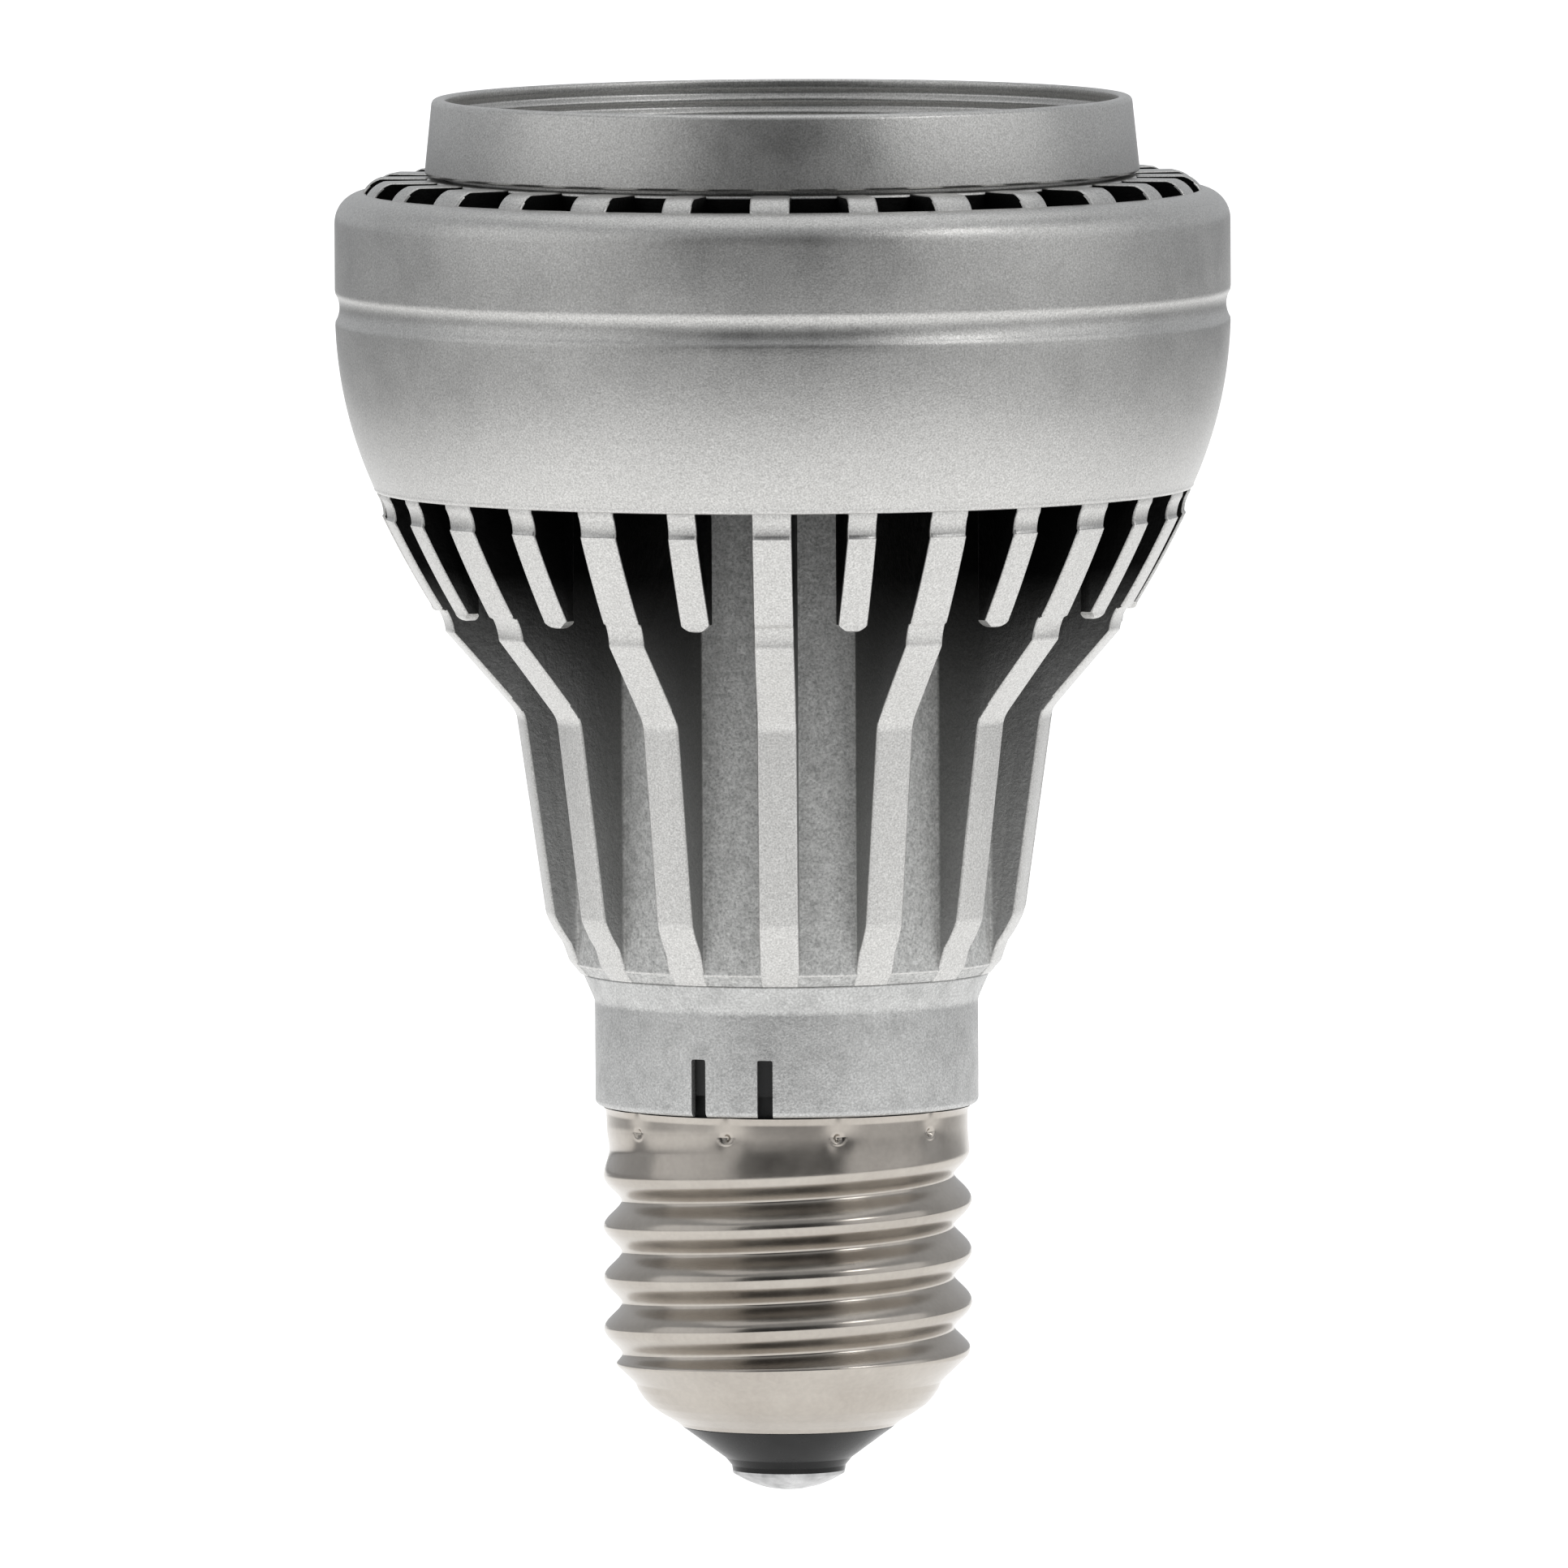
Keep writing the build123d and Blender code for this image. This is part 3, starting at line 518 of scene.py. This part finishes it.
# ------------------------------------------------------------------ screw shell
PITCH = 3.63
CREST, ROOT, BAND = 13.08, 11.8, 12.9
FIRST_CREST = 9.7
CREST_WIDTH = 0.8
FADE_START, FADE_END = 3.45, 4.3
SWELL_TOP, SWELL_LENGTH = 26.0, 4.5
ROLL_MARKS, MARK_DEPTH, MARK_WIDTH = (-0.42, 0.12), 0.011, 0.1
SHELL_BOTTOM, SHELL_TOP, _ = span("cap_shell")
SHEET = 0.3
LIP_HEIGHT, LIP_FLARE, LIP_NOTCH = 0.5, 0.2, 0.22
DIMPLES, DIMPLE_HEIGHT, DIMPLE_START, DIMPLES_ABOVE = 10, 26.0, -72.0, 22.5
PIT_DEPTH, PIT_RADIUS, HOLLOW_DEPTH, HOLLOW_HEIGHT = 0.26, 0.26, 0.14, 1.1
SHOULDER_BLEND = 0.35
SHELL_COLUMNS, SHELL_ROWS = 540, 360
SHOULDER = [(13.3, 10.6), (12.85, 9.6), (12.1, 8.85), (11.3, 8.1), (10.9, 7.7), (10.7, 7.2), (10.3, 6.6)]
SHOULDER += [(9.85, 6.1), (9.0, 5.5), (7.95, 4.9), (7.6, SHELL_BOTTOM)]


def smooth(t):
    """Smooth step from 0 to 1, clamped."""
    t = min(1.0, max(0.0, t))
    return t * t * (3 - 2 * t)


def shell_radius(angle, z):
    """Outer radius of the screw shell: band, dimples, right-hand helical thread and lower shoulder."""
    crest = FIRST_CREST + PITCH * angle / 360
    turns = (z - crest) / PITCH
    groove = 1 - (0.5 + 0.5 * math.cos(2 * math.pi * turns)) ** CREST_WIDTH
    # the groove fades out along its own helix near the band
    root_turn = math.floor(turns) + 0.5 + angle / 360
    depth = (1 - smooth((root_turn - FADE_START) / (FADE_END - FADE_START))) if turns > -1 else 1.0
    outer = BAND + (CREST - BAND) * smooth((SWELL_TOP - z) / SWELL_LENGTH)
    radius = outer - (outer - ROOT) * groove * depth
    # two fine rolling marks run along each crest
    from_crest = (turns - round(turns)) * PITCH
    for mark in ROLL_MARKS:
        radius -= MARK_DEPTH * depth * math.exp(-(((from_crest - mark) / MARK_WIDTH) ** 2))
    shoulder = float(np.interp(z, [p[1] for p in reversed(SHOULDER)], [p[0] for p in reversed(SHOULDER)]))
    if z > SHOULDER[0][1]:
        shoulder = SHOULDER[0][0] + (z - SHOULDER[0][1])
    h = max(SHOULDER_BLEND - abs(radius - shoulder), 0.0) / SHOULDER_BLEND
    radius = min(radius, shoulder) - h * h * SHOULDER_BLEND / 4
    # rolled lip at the very top, pulled in above each crimp mark
    offset = (angle - DIMPLE_START + 180 / DIMPLES) % (360 / DIMPLES) - 180 / DIMPLES
    across = math.radians(offset) * BAND
    lip = max(0.0, 1 - (SHELL_TOP - z) / LIP_HEIGHT)
    radius += lip * lip * (LIP_FLARE - LIP_NOTCH * math.exp(-((across / 0.8) ** 2)))
    # crimp marks: a small pit with a raised lower rim in a shallow hollow that trails off to one side
    if z > DIMPLES_ABOVE:
        up = z - DIMPLE_HEIGHT
        trail = 1.3 if across > 0 else 0.8
        pit = math.exp(-(((across / PIT_RADIUS) ** 2 + (up / PIT_RADIUS) ** 2) ** 1.3))
        dent = math.exp(-((across / trail) ** 2 + (up / HOLLOW_HEIGHT) ** 2))
        rim = math.exp(-(((math.hypot(across, up + 0.05) - 0.4) / 0.1) ** 2))
        radius += -PIT_DEPTH * pit - HOLLOW_DEPTH * dent + (0.045 if up < 0 else 0.01) * rim
    return radius


def screw_shell():
    """The sheet-metal shell as a grid of its outer surface and the same surface one sheet further in."""
    around, rows = SHELL_COLUMNS, SHELL_ROWS
    heights = [SHELL_BOTTOM + (SHELL_TOP - SHELL_BOTTOM) * i / rows for i in range(rows + 1)]
    turn = [(math.cos(2 * math.pi * k / around), math.sin(2 * math.pi * k / around)) for k in range(around)]
    radii = [[shell_radius(360 * k / around, z) for k in range(around)] for z in heights]
    verts = [
        ((r - inset) * c * MM, (r - inset) * sn * MM, z * MM)
        for inset in (0.0, SHEET)
        for z, row in zip(heights, radii)
        for r, (c, sn) in zip(row, turn)
    ]
    layer = (rows + 1) * around
    faces = []
    for i in range(rows):
        for k in range(around):
            n = (k + 1) % around
            a, b, c, d = i * around + k, i * around + n, (i + 1) * around + n, (i + 1) * around + k
            faces.append((a, b, c, d))
            faces.append((layer + a, layer + d, layer + c, layer + b))
    for i, order in ((0, 1), (rows, -1)):
        for k in range(around):
            n = (k + 1) % around
            a, b = i * around + k, i * around + n
            faces.append((a, layer + a, layer + b, b)[::order])
    mesh = bpy.data.meshes.new("cap_shell_screw")
    mesh.from_pydata(verts, [], faces)
    return finish_mesh(make_object("cap_shell_screw", mesh), 60)


shell = screw_shell()
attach(shell, "root")
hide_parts("cap_shell")
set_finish(shell, "cap_nickel")

# ------------------------------------------------------------------ insulator and contact
STEM_RADIUS, STEM_TOP = 1.0, 8.6
BUTTON_RADIUS, BUTTON_TOP = 4.0, 1.4
PLUG_RADIUS, PLUG_TOP = 7.28, 7.6
insulator = turned(
    "cap_insulator_moulding",
    rounded(
        [
            (STEM_RADIUS, BUTTON_TOP, 0),
            (BUTTON_RADIUS, BUTTON_TOP, 0),
            (4.05, 1.75, 0.1),
            (4.5, 2.3, 0.4),
            (7.6, 4.58, 0.05),
            (PLUG_RADIUS, 4.72, 0),
            (PLUG_RADIUS, PLUG_TOP, 0),
            (STEM_RADIUS, PLUG_TOP, 0),
        ]
    ),
)
contact = turned(
    "centre_contact_button",
    [(0, 0)]
    + arc((0.3, 0.006), (2.2, 0.34), (3.7, 1.04), 14)
    + arc((3.8, 1.1), (3.97, 1.22), (BUTTON_RADIUS, BUTTON_TOP), 4)
    + [(STEM_RADIUS, BUTTON_TOP), (STEM_RADIUS, STEM_TOP), (0, STEM_TOP)],
)
for piece, node, slot_name in (
    (insulator, "cap_insulator", "insulator_black"),
    (contact, "centre_contact", "contact_metal"),
):
    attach(piece, "root")
    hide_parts(node)
    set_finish(piece, slot_name)


# ------------------------------------------------------------------ node helpers
def new_material(name):
    material = bpy.data.materials.new(name)
    material.use_nodes = True
    tree = material.node_tree
    return material, tree, tree.nodes["Principled BSDF"]


def noise_node(tree, scale, detail=3.0, roughness=0.55, stretch=None):
    """Noise in object space; scale is in features per metre."""
    place = tree.nodes.new("ShaderNodeTexCoord")
    source = place.outputs["Object"]
    if stretch:
        mapping = tree.nodes.new("ShaderNodeMapping")
        mapping.inputs["Scale"].default_value = stretch
        tree.links.new(source, mapping.inputs["Vector"])
        source = mapping.outputs["Vector"]
    texture = tree.nodes.new("ShaderNodeTexNoise")
    texture.inputs["Scale"].default_value = scale
    texture.inputs["Detail"].default_value = detail
    texture.inputs["Roughness"].default_value = roughness
    tree.links.new(source, texture.inputs["Vector"])
    return texture.outputs["Fac"]


def scaled(tree, source, low, high, interpolation="LINEAR"):
    """Maps source from low..high to 0..1, clamped."""
    node = tree.nodes.new("ShaderNodeMapRange")
    node.interpolation_type = interpolation
    node.inputs["From Min"].default_value = low
    node.inputs["From Max"].default_value = high
    tree.links.new(source, node.inputs["Value"])
    return node.outputs["Result"]


def ramp(tree, source, stops):
    """A colour ramp from (position, grey or colour) stops."""
    node = tree.nodes.new("ShaderNodeValToRGB")
    elements = node.color_ramp.elements
    while len(elements) < len(stops):
        elements.new(0.5)
    for element, (position, colour) in zip(elements, stops):
        element.position = position
        element.color = (colour, colour, colour, 1) if isinstance(colour, (int, float)) else (*colour, 1)
    tree.links.new(source, node.inputs["Fac"])
    return node.outputs["Color"]


def mix(tree, kind, factor, a, b):
    """A colour mix; factor, a and b are sockets or plain values."""
    node = tree.nodes.new("ShaderNodeMix")
    node.data_type = "RGBA"
    node.blend_type = kind
    for socket, value in ((node.inputs["Factor"], factor), (node.inputs[6], a), (node.inputs[7], b)):
        if isinstance(value, bpy.types.NodeSocket):
            tree.links.new(value, socket)
        elif isinstance(value, (int, float)):
            socket.default_value = value if socket.name == "Factor" else (value, value, value, 1)
        else:
            socket.default_value = (*value, 1)
    return node.outputs[2]


def bump(tree, shader, layers):
    """Chains bump layers (height socket, strength, distance in metres) into the shader's normal."""
    normal = None
    for height, strength, distance in layers:
        node = tree.nodes.new("ShaderNodeBump")
        node.inputs["Strength"].default_value = strength
        node.inputs["Distance"].default_value = distance
        tree.links.new(height, node.inputs["Height"])
        if normal is not None:
            tree.links.new(normal, node.inputs["Normal"])
        normal = node.outputs["Normal"]
    tree.links.new(normal, shader.inputs["Normal"])


# ------------------------------------------------------------------ materials
def silver_paint():
    """Satin silver paint: fine metallic grain, faint mottling, slight orange peel."""
    material, tree, shader = new_material("satin_silver_paint")
    grain = noise_node(tree, 8000, 2.0)
    mottle = noise_node(tree, 260, 4.0)
    flakes = [(0.28, (0.43, 0.425, 0.412)), (0.5, (0.58, 0.574, 0.558)), (0.72, (0.74, 0.733, 0.713))]
    grey = ramp(tree, grain, flakes)
    worn = ramp(tree, mottle, [(0.3, 0.92), (0.7, 1.0)])
    tree.links.new(mix(tree, "MULTIPLY", 1.0, grey, worn), shader.inputs["Base Color"])
    tree.links.new(ramp(tree, mottle, [(0.3, 0.34), (0.7, 0.42)]), shader.inputs["Roughness"])
    shader.inputs["Metallic"].default_value = 0.95
    bump(tree, shader, [(grain, 0.4, 0.00003), (noise_node(tree, 1500, 2.0), 0.15, 0.00006)])
    return material


def neck_paint():
    """The same paint over a rougher moulding: cloudy, with worn and speckled patches."""
    material, tree, shader = new_material("neck_silver_paint")
    grain = noise_node(tree, 6500, 3.0, 0.6)
    cloud = noise_node(tree, 520, 5.0, 0.62)
    flakes = [(0.3, (0.40, 0.40, 0.395)), (0.5, (0.53, 0.53, 0.52)), (0.7, (0.68, 0.68, 0.67))]
    grey = ramp(tree, grain, flakes)
    worn = ramp(tree, cloud, [(0.32, 0.84), (0.46, 0.95), (0.66, 1.0)])
    tree.links.new(mix(tree, "MULTIPLY", 1.0, grey, worn), shader.inputs["Base Color"])
    tree.links.new(ramp(tree, cloud, [(0.3, 0.5), (0.7, 0.4)]), shader.inputs["Roughness"])
    shader.inputs["Metallic"].default_value = 0.9
    bump(tree, shader, [(grain, 0.45, 0.00004), (cloud, 0.3, 0.00015)])
    return material


PAINTED_SHADE_HEIGHTS = (0.045, 0.070)
CORE_RADII = (0.01538, 0.0156)


def cast_silver_with_painted_shade():
    """The casting's recesses: lighter grey core, and walls with painted shade that gets darker the deeper
    they go under the collar.
    """
    material, tree, shader = new_material("cast_recess_silver")
    grain = noise_node(tree, 5200, 4.0, 0.65)
    pits = noise_node(tree, 1500, 3.0, 0.6)
    blotches = [(0.32, (0.36, 0.36, 0.352)), (0.52, (0.60, 0.60, 0.585)), (0.75, (0.78, 0.78, 0.76))]
    grey = ramp(tree, grain, blotches)
    shade = ramp(tree, pits, [(0.3, 0.75), (0.62, 1.0)])
    core = mix(tree, "MULTIPLY", 1.0, grey, shade)
    wall = ramp(tree, grain, [(0.3, (0.34, 0.34, 0.335)), (0.7, (0.44, 0.44, 0.43))])
    place = tree.nodes.new("ShaderNodeTexCoord").outputs["Object"]
    split = tree.nodes.new("ShaderNodeSeparateXYZ")
    tree.links.new(place, split.inputs["Vector"])
    flat = tree.nodes.new("ShaderNodeVectorMath")
    flat.operation = "MULTIPLY"
    flat.inputs[1].default_value = (1, 1, 0)
    tree.links.new(place, flat.inputs[0])
    radius = tree.nodes.new("ShaderNodeVectorMath")
    radius.operation = "LENGTH"
    tree.links.new(flat.outputs["Vector"], radius.inputs[0])
    # painted shade: the walls are darkened the higher they reach into the recess under the collar
    height = scaled(tree, split.outputs["Z"], *PAINTED_SHADE_HEIGHTS)
    painted_shadow = ramp(tree, height, [(0.1, 0.78), (0.45, 0.55), (0.68, 0.26), (0.85, 0.02)])
    wall = mix(tree, "MULTIPLY", 1.0, wall, painted_shadow)
    is_wall = scaled(tree, radius.outputs["Value"], *CORE_RADII)
    tree.links.new(mix(tree, "MIX", is_wall, core, wall), shader.inputs["Base Color"])
    tree.links.new(ramp(tree, grain, [(0.3, 0.58), (0.7, 0.46)]), shader.inputs["Roughness"])
    tree.links.new(ramp(tree, is_wall, [(0.0, 0.35), (1.0, 0.95)]), shader.inputs["Metallic"])
    bump(tree, shader, [(grain, 0.5, 0.00006), (pits, 0.45, 0.00012)])
    return material


def nickel():
    """Nickel plate on formed sheet: soft, slightly warm, with handling haze."""
    material, tree, shader = new_material("nickel_plate")
    haze = noise_node(tree, 190, 5.0, 0.6)
    fine = noise_node(tree, 2600, 3.0, 0.6)
    colour = ramp(tree, haze, [(0.3, (0.42, 0.385, 0.345)), (0.7, (0.5, 0.465, 0.42))])
    speck = ramp(tree, fine, [(0.3, 0.93), (0.7, 1.0)])
    tree.links.new(mix(tree, "MULTIPLY", 1.0, colour, speck), shader.inputs["Base Color"])
    tree.links.new(ramp(tree, haze, [(0.35, 0.19), (0.65, 0.26)]), shader.inputs["Roughness"])
    shader.inputs["Metallic"].default_value = 1.0
    bump(tree, shader, [(fine, 0.06, 0.00002)])
    return material


def solder():
    """The tinned centre contact: soft grey with slumped solder texture."""
    material, tree, shader = new_material("tinned_contact")
    blotch = noise_node(tree, 900, 4.0)
    tree.links.new(ramp(tree, blotch, [(0.3, 0.36), (0.7, 0.56)]), shader.inputs["Base Color"])
    tree.links.new(ramp(tree, blotch, [(0.3, 0.42), (0.7, 0.25)]), shader.inputs["Roughness"])
    shader.inputs["Metallic"].default_value = 1.0
    bump(tree, shader, [(blotch, 0.25, 0.00008)])
    return material


def plastic(name, low, high, scale=2500, roughness=(0.4, 0.55), grain_depth=0.00002, shine=0.5):
    """Moulded plastic, rubber, lacquer or ceramic: two close tones, uneven gloss and a fine moulded grain."""
    material, tree, shader = new_material(name)
    tone = noise_node(tree, scale, 3.0)
    tree.links.new(ramp(tree, tone, [(0.3, low), (0.7, high)]), shader.inputs["Base Color"])
    tree.links.new(ramp(tree, tone, [(0.3, roughness[0]), (0.7, roughness[1])]), shader.inputs["Roughness"])
    shader.inputs["Specular IOR Level"].default_value = shine
    bump(tree, shader, [(tone, 0.3, grain_depth)])
    return material


def clear(name, tint, ior, haze):
    """Clear glass or acrylic with a faint uneven polish."""
    material, tree, shader = new_material(name)
    polish = noise_node(tree, 300, 2.0)
    lighter = tuple(min(1, c + 0.02) for c in tint)
    tree.links.new(ramp(tree, polish, [(0.3, tint), (0.7, lighter)]), shader.inputs["Base Color"])
    tree.links.new(ramp(tree, polish, [(0.3, haze), (0.7, haze + 0.03)]), shader.inputs["Roughness"])
    shader.inputs["Transmission Weight"].default_value = 1.0
    shader.inputs["IOR"].default_value = ior
    return material


def brushed(name, low, high, stretch=(1, 1, 6)):
    """Plain steel with a drawn grain."""
    material, tree, shader = new_material(name)
    grain = noise_node(tree, 2600, 3.0, 0.6, stretch=stretch)
    tree.links.new(ramp(tree, grain, [(0.3, low), (0.7, high)]), shader.inputs["Base Color"])
    tree.links.new(ramp(tree, grain, [(0.3, 0.28), (0.7, 0.42)]), shader.inputs["Roughness"])
    shader.inputs["Metallic"].default_value = 1.0
    bump(tree, shader, [(grain, 0.15, 0.00002)])
    return material


PAINT, CAST_WITH_SHADE = silver_paint(), cast_silver_with_painted_shade()
MATERIALS = {
    "satin_silver": PAINT,
    "neck_silver": neck_paint(),
    "cap_nickel": nickel(),
    "contact_metal": solder(),
    "insulator_black": plastic("black_insulator", 0.004, 0.009, 700, (0.2, 0.3), shine=0.22),
    "lens_clear": clear("cover_glass", (0.97, 0.985, 0.98), 1.5, 0.0),
    "optic_clear": clear("clear_acrylic", (0.96, 0.97, 0.97), 1.49, 0.0),
    "gasket_rubber": plastic("gasket_rubber", 0.02, 0.035, 3000, (0.6, 0.75)),
    "clip_steel": brushed("clip_steel", 0.42, 0.56),
    "holder_black": plastic("holder_black", 0.014, 0.026, 5000, (0.5, 0.65), 0.00004),
    "board_white": plastic("white_solder_mask", 0.72, 0.8, 1500, (0.3, 0.42)),
    "led_ceramic": plastic("led_ceramic", 0.7, 0.8, 3000, (0.35, 0.5)),
    "led_phosphor": plastic("phosphor_silicone", (0.82, 0.62, 0.06), (0.9, 0.74, 0.12), 2000, (0.12, 0.2)),
    "pad_grey": plastic("thermal_pad_grey", (0.3, 0.32, 0.38), (0.38, 0.4, 0.46), 3000, (0.7, 0.85)),
    "screw_steel": brushed("screw_steel", 0.48, 0.62),
    "connector_white": plastic("connector_nylon", 0.7, 0.78, 2500, (0.4, 0.5)),
    "wire_red": plastic("red_insulation", (0.42, 0.012, 0.01), (0.52, 0.02, 0.015), 1800, (0.35, 0.45)),
    "wire_black": plastic("black_insulation", 0.012, 0.02, 1800, (0.35, 0.45)),
    "housing_black": plastic("housing_black", 0.008, 0.014, 1800, (0.5, 0.65)),
    "circuit_green": plastic("circuit_green", (0.012, 0.1, 0.03), (0.02, 0.16, 0.05), 1200, (0.28, 0.4)),
    "ferrite": plastic("ferrite", 0.02, 0.045, 3500, (0.55, 0.7), 0.00005),
    "coil_tape": plastic("yellow_tape", (0.7, 0.42, 0.02), (0.8, 0.52, 0.04), 900, (0.25, 0.35)),
    "capacitor_sleeve": plastic(
        "capacitor_sleeve", (0.012, 0.016, 0.05), (0.02, 0.026, 0.08), 900, (0.22, 0.32)
    ),
    "film_case": plastic("film_capacitor_case", (0.5, 0.33, 0.02), (0.6, 0.42, 0.04), 1800, (0.4, 0.5)),
    "chip_black": plastic("moulding_compound", 0.015, 0.03, 4000, (0.5, 0.65), 0.00004),
    "resistor_body": plastic("resistor_lacquer", (0.06, 0.2, 0.12), (0.09, 0.27, 0.17), 1500, (0.35, 0.5)),
}
CAD_SLOTS = {row["node"]: row["material_slot"] for row in frame["record"]["subparts"]}


def dress(obj, material):
    obj.data.materials.clear()
    obj.data.materials.append(material)


for obj in bpy.data.objects:
    if obj.type == "MESH":
        slot_name = obj.get("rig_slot") or CAD_SLOTS.get(obj.name)
        dress(obj, MATERIALS[slot_name])

# faces of the casting that lie back from its outer skin keep the raw cast finish, whose walls carry painted
# shade under the collar
sink.data.materials.append(CAST_WITH_SHADE)
SKIN = [(SINK_BOTTOM, 14.95), (37.8, 15.7), (38.4, 15.8), (39.25, 15.8), (41.3, 16.95)]
SKIN += [(54.8, 18.8), (60.0, 22.9), (63.1, 24.85), (66.0, 26.4), (70.0, 28.3), (71.3, 28.7)]
SKIN += [(77.5, 30.8), (83.0, 31.4), (91.4, 31.0), (CUP_TOP, 24.4)]
SKIN_DEPTH, RIM_HEIGHT = 0.35, 92.0
for face in sink.data.polygons:
    x, y, z = face.center / MM
    r = math.hypot(x, y)
    envelope = float(np.interp(z, [p[0] for p in SKIN], [p[1] for p in SKIN]))
    outward = (face.normal.x * x + face.normal.y * y) / max(r, 1e-6)
    on_top = face.normal.z > 0.5 and z > RIM_HEIGHT
    side_wall = abs(outward) < 0.2 and abs(face.normal.z) < 0.35
    if not on_top and (r < envelope - SKIN_DEPTH or side_wall):
        face.material_index = 1


# ------------------------------------------------------------------ floor, light and camera
FLOOR_HALF, FLOOR_DROP = 9.0, 0.0002
# painted light: where the floor's glow fades in front and at the sides
PAINTED_LIGHT_FRONT, PAINTED_LIGHT_SIDE, PAINTED_LIGHT_WIDENING = (-0.34, -0.05), (0.34, 0.09), -0.03


def studio_floor():
    """A pale floor, bright enough to read as white paper, whose paper glows with a painted pool of light."""
    mesh = bpy.data.meshes.new("studio_floor")
    half = FLOOR_HALF
    corners = [(-half, -half, 0), (half, -half, 0), (half, half, 0), (-half, half, 0)]
    mesh.from_pydata(corners, [], [(0, 1, 2, 3)])
    floor = make_object("studio_floor", mesh)
    floor.location.z = -FLOOR_DROP
    material, tree, shader = new_material("white_paper")
    paper = noise_node(tree, 40, 3.0)
    tree.links.new(ramp(tree, paper, [(0.3, 0.48), (0.7, 0.5)]), shader.inputs["Base Color"])
    shader.inputs["Roughness"].default_value = 0.9
    shader.inputs["Emission Color"].default_value = (1, 1, 1, 1)
    place = tree.nodes.new("ShaderNodeTexCoord")
    split = tree.nodes.new("ShaderNodeSeparateXYZ")
    tree.links.new(place.outputs["Object"], split.inputs["Vector"])
    # painted light: the paper glows in a sheet that widens away from the camera and fades towards it and to
    # the sides
    front = scaled(tree, split.outputs["Y"], *PAINTED_LIGHT_FRONT, "SMOOTHSTEP")
    across = tree.nodes.new("ShaderNodeMath")
    across.operation = "ABSOLUTE"
    tree.links.new(split.outputs["X"], across.inputs[0])
    widening = tree.nodes.new("ShaderNodeMath")
    widening.operation = "MULTIPLY_ADD"
    widening.inputs[1].default_value = PAINTED_LIGHT_WIDENING
    tree.links.new(split.outputs["Y"], widening.inputs[0])
    tree.links.new(across.outputs["Value"], widening.inputs[2])
    side = scaled(tree, widening.outputs["Value"], *PAINTED_LIGHT_SIDE, "SMOOTHSTEP")
    painted_light = tree.nodes.new("ShaderNodeMath")
    painted_light.operation = "MULTIPLY"
    tree.links.new(front, painted_light.inputs[0])
    tree.links.new(side, painted_light.inputs[1])
    tree.links.new(painted_light.outputs["Value"], shader.inputs["Emission Strength"])
    mesh.materials.append(material)


def softbox(name, position, target, size, power):
    light = bpy.data.lights.new(name, "AREA")
    light.shape = "RECTANGLE"
    light.size, light.size_y = size
    light.energy = power
    obj = bpy.data.objects.new(name, light)
    obj.location = position
    obj.rotation_euler = (Vector(target) - Vector(position)).to_track_quat("-Z", "Y").to_euler()
    bpy.context.scene.collection.objects.link(obj)


MIDDLE = (0, 0, 0.06)
studio_floor()
softbox("left_softbox", (-1.15, -0.58, 0.5), MIDDLE, (1.65, 1.1), 2.9)
softbox("right_softbox", (1.2, -0.5, 0.5), MIDDLE, (1.6, 1.0), 2.7)
softbox("right_lamp", (0.98, -0.80, 0.95), MIDDLE, (0.42, 0.3), 1.7)
softbox("top_softbox", (0, 0.1, 1.4), MIDDLE, (1.8, 1.5), 4.0)

world = bpy.data.worlds.new("studio")
world.use_nodes = True
room = world.node_tree
background = room.nodes["Background"]
background.inputs["Color"].default_value = (0.95, 0.97, 1.0, 1)
direction = room.nodes.new("ShaderNodeTexCoord").outputs["Generated"]
split = room.nodes.new("ShaderNodeSeparateXYZ")
room.links.new(direction, split.inputs["Vector"])
# the room is dark on the photographer's side, below the ceiling
front_to_back = scaled(room, split.outputs["Y"], -1, 1)
walls = ramp(room, front_to_back, [(0.04, 0.02), (0.14, 0.3), (0.4, 0.42), (0.9, 0.6)])
ceiling = ramp(room, split.outputs["Z"], [(0.3, 0.02), (0.72, 0.4)])
room.links.new(mix(room, "LIGHTEN", 1.0, walls, ceiling), background.inputs["Strength"])
bpy.context.scene.world = world
bpy.context.scene.view_settings.view_transform = "Standard"

CAMERA_DISTANCE = 2.4
CAMERA_HEIGHT = 0.225
CAMERA_SIDE = math.radians(1.75)
CAMERA_ROLL = math.radians(-0.3)
FRAME_CENTRE = (-0.0001, 0, 0.0502)
PIXELS_PER_METRE = 17370
FRAME_PIXELS = 1932
SENSOR = 36.0
camera_data = bpy.data.cameras.new("camera")
camera = bpy.data.objects.new("camera", camera_data)
bpy.context.scene.collection.objects.link(camera)
camera.location = (
    CAMERA_DISTANCE * math.sin(CAMERA_SIDE),
    -CAMERA_DISTANCE * math.cos(CAMERA_SIDE),
    CAMERA_HEIGHT,
)
aim = Vector(FRAME_CENTRE) - camera.location
level = aim.to_track_quat("-Z", "Y")
camera.rotation_euler = (level @ Quaternion((0, 0, 1), CAMERA_ROLL)).to_euler()
camera_data.sensor_width = SENSOR
camera_data.lens = SENSOR * PIXELS_PER_METRE * aim.length / FRAME_PIXELS
camera_data.clip_end = 100
bpy.context.scene.camera = camera
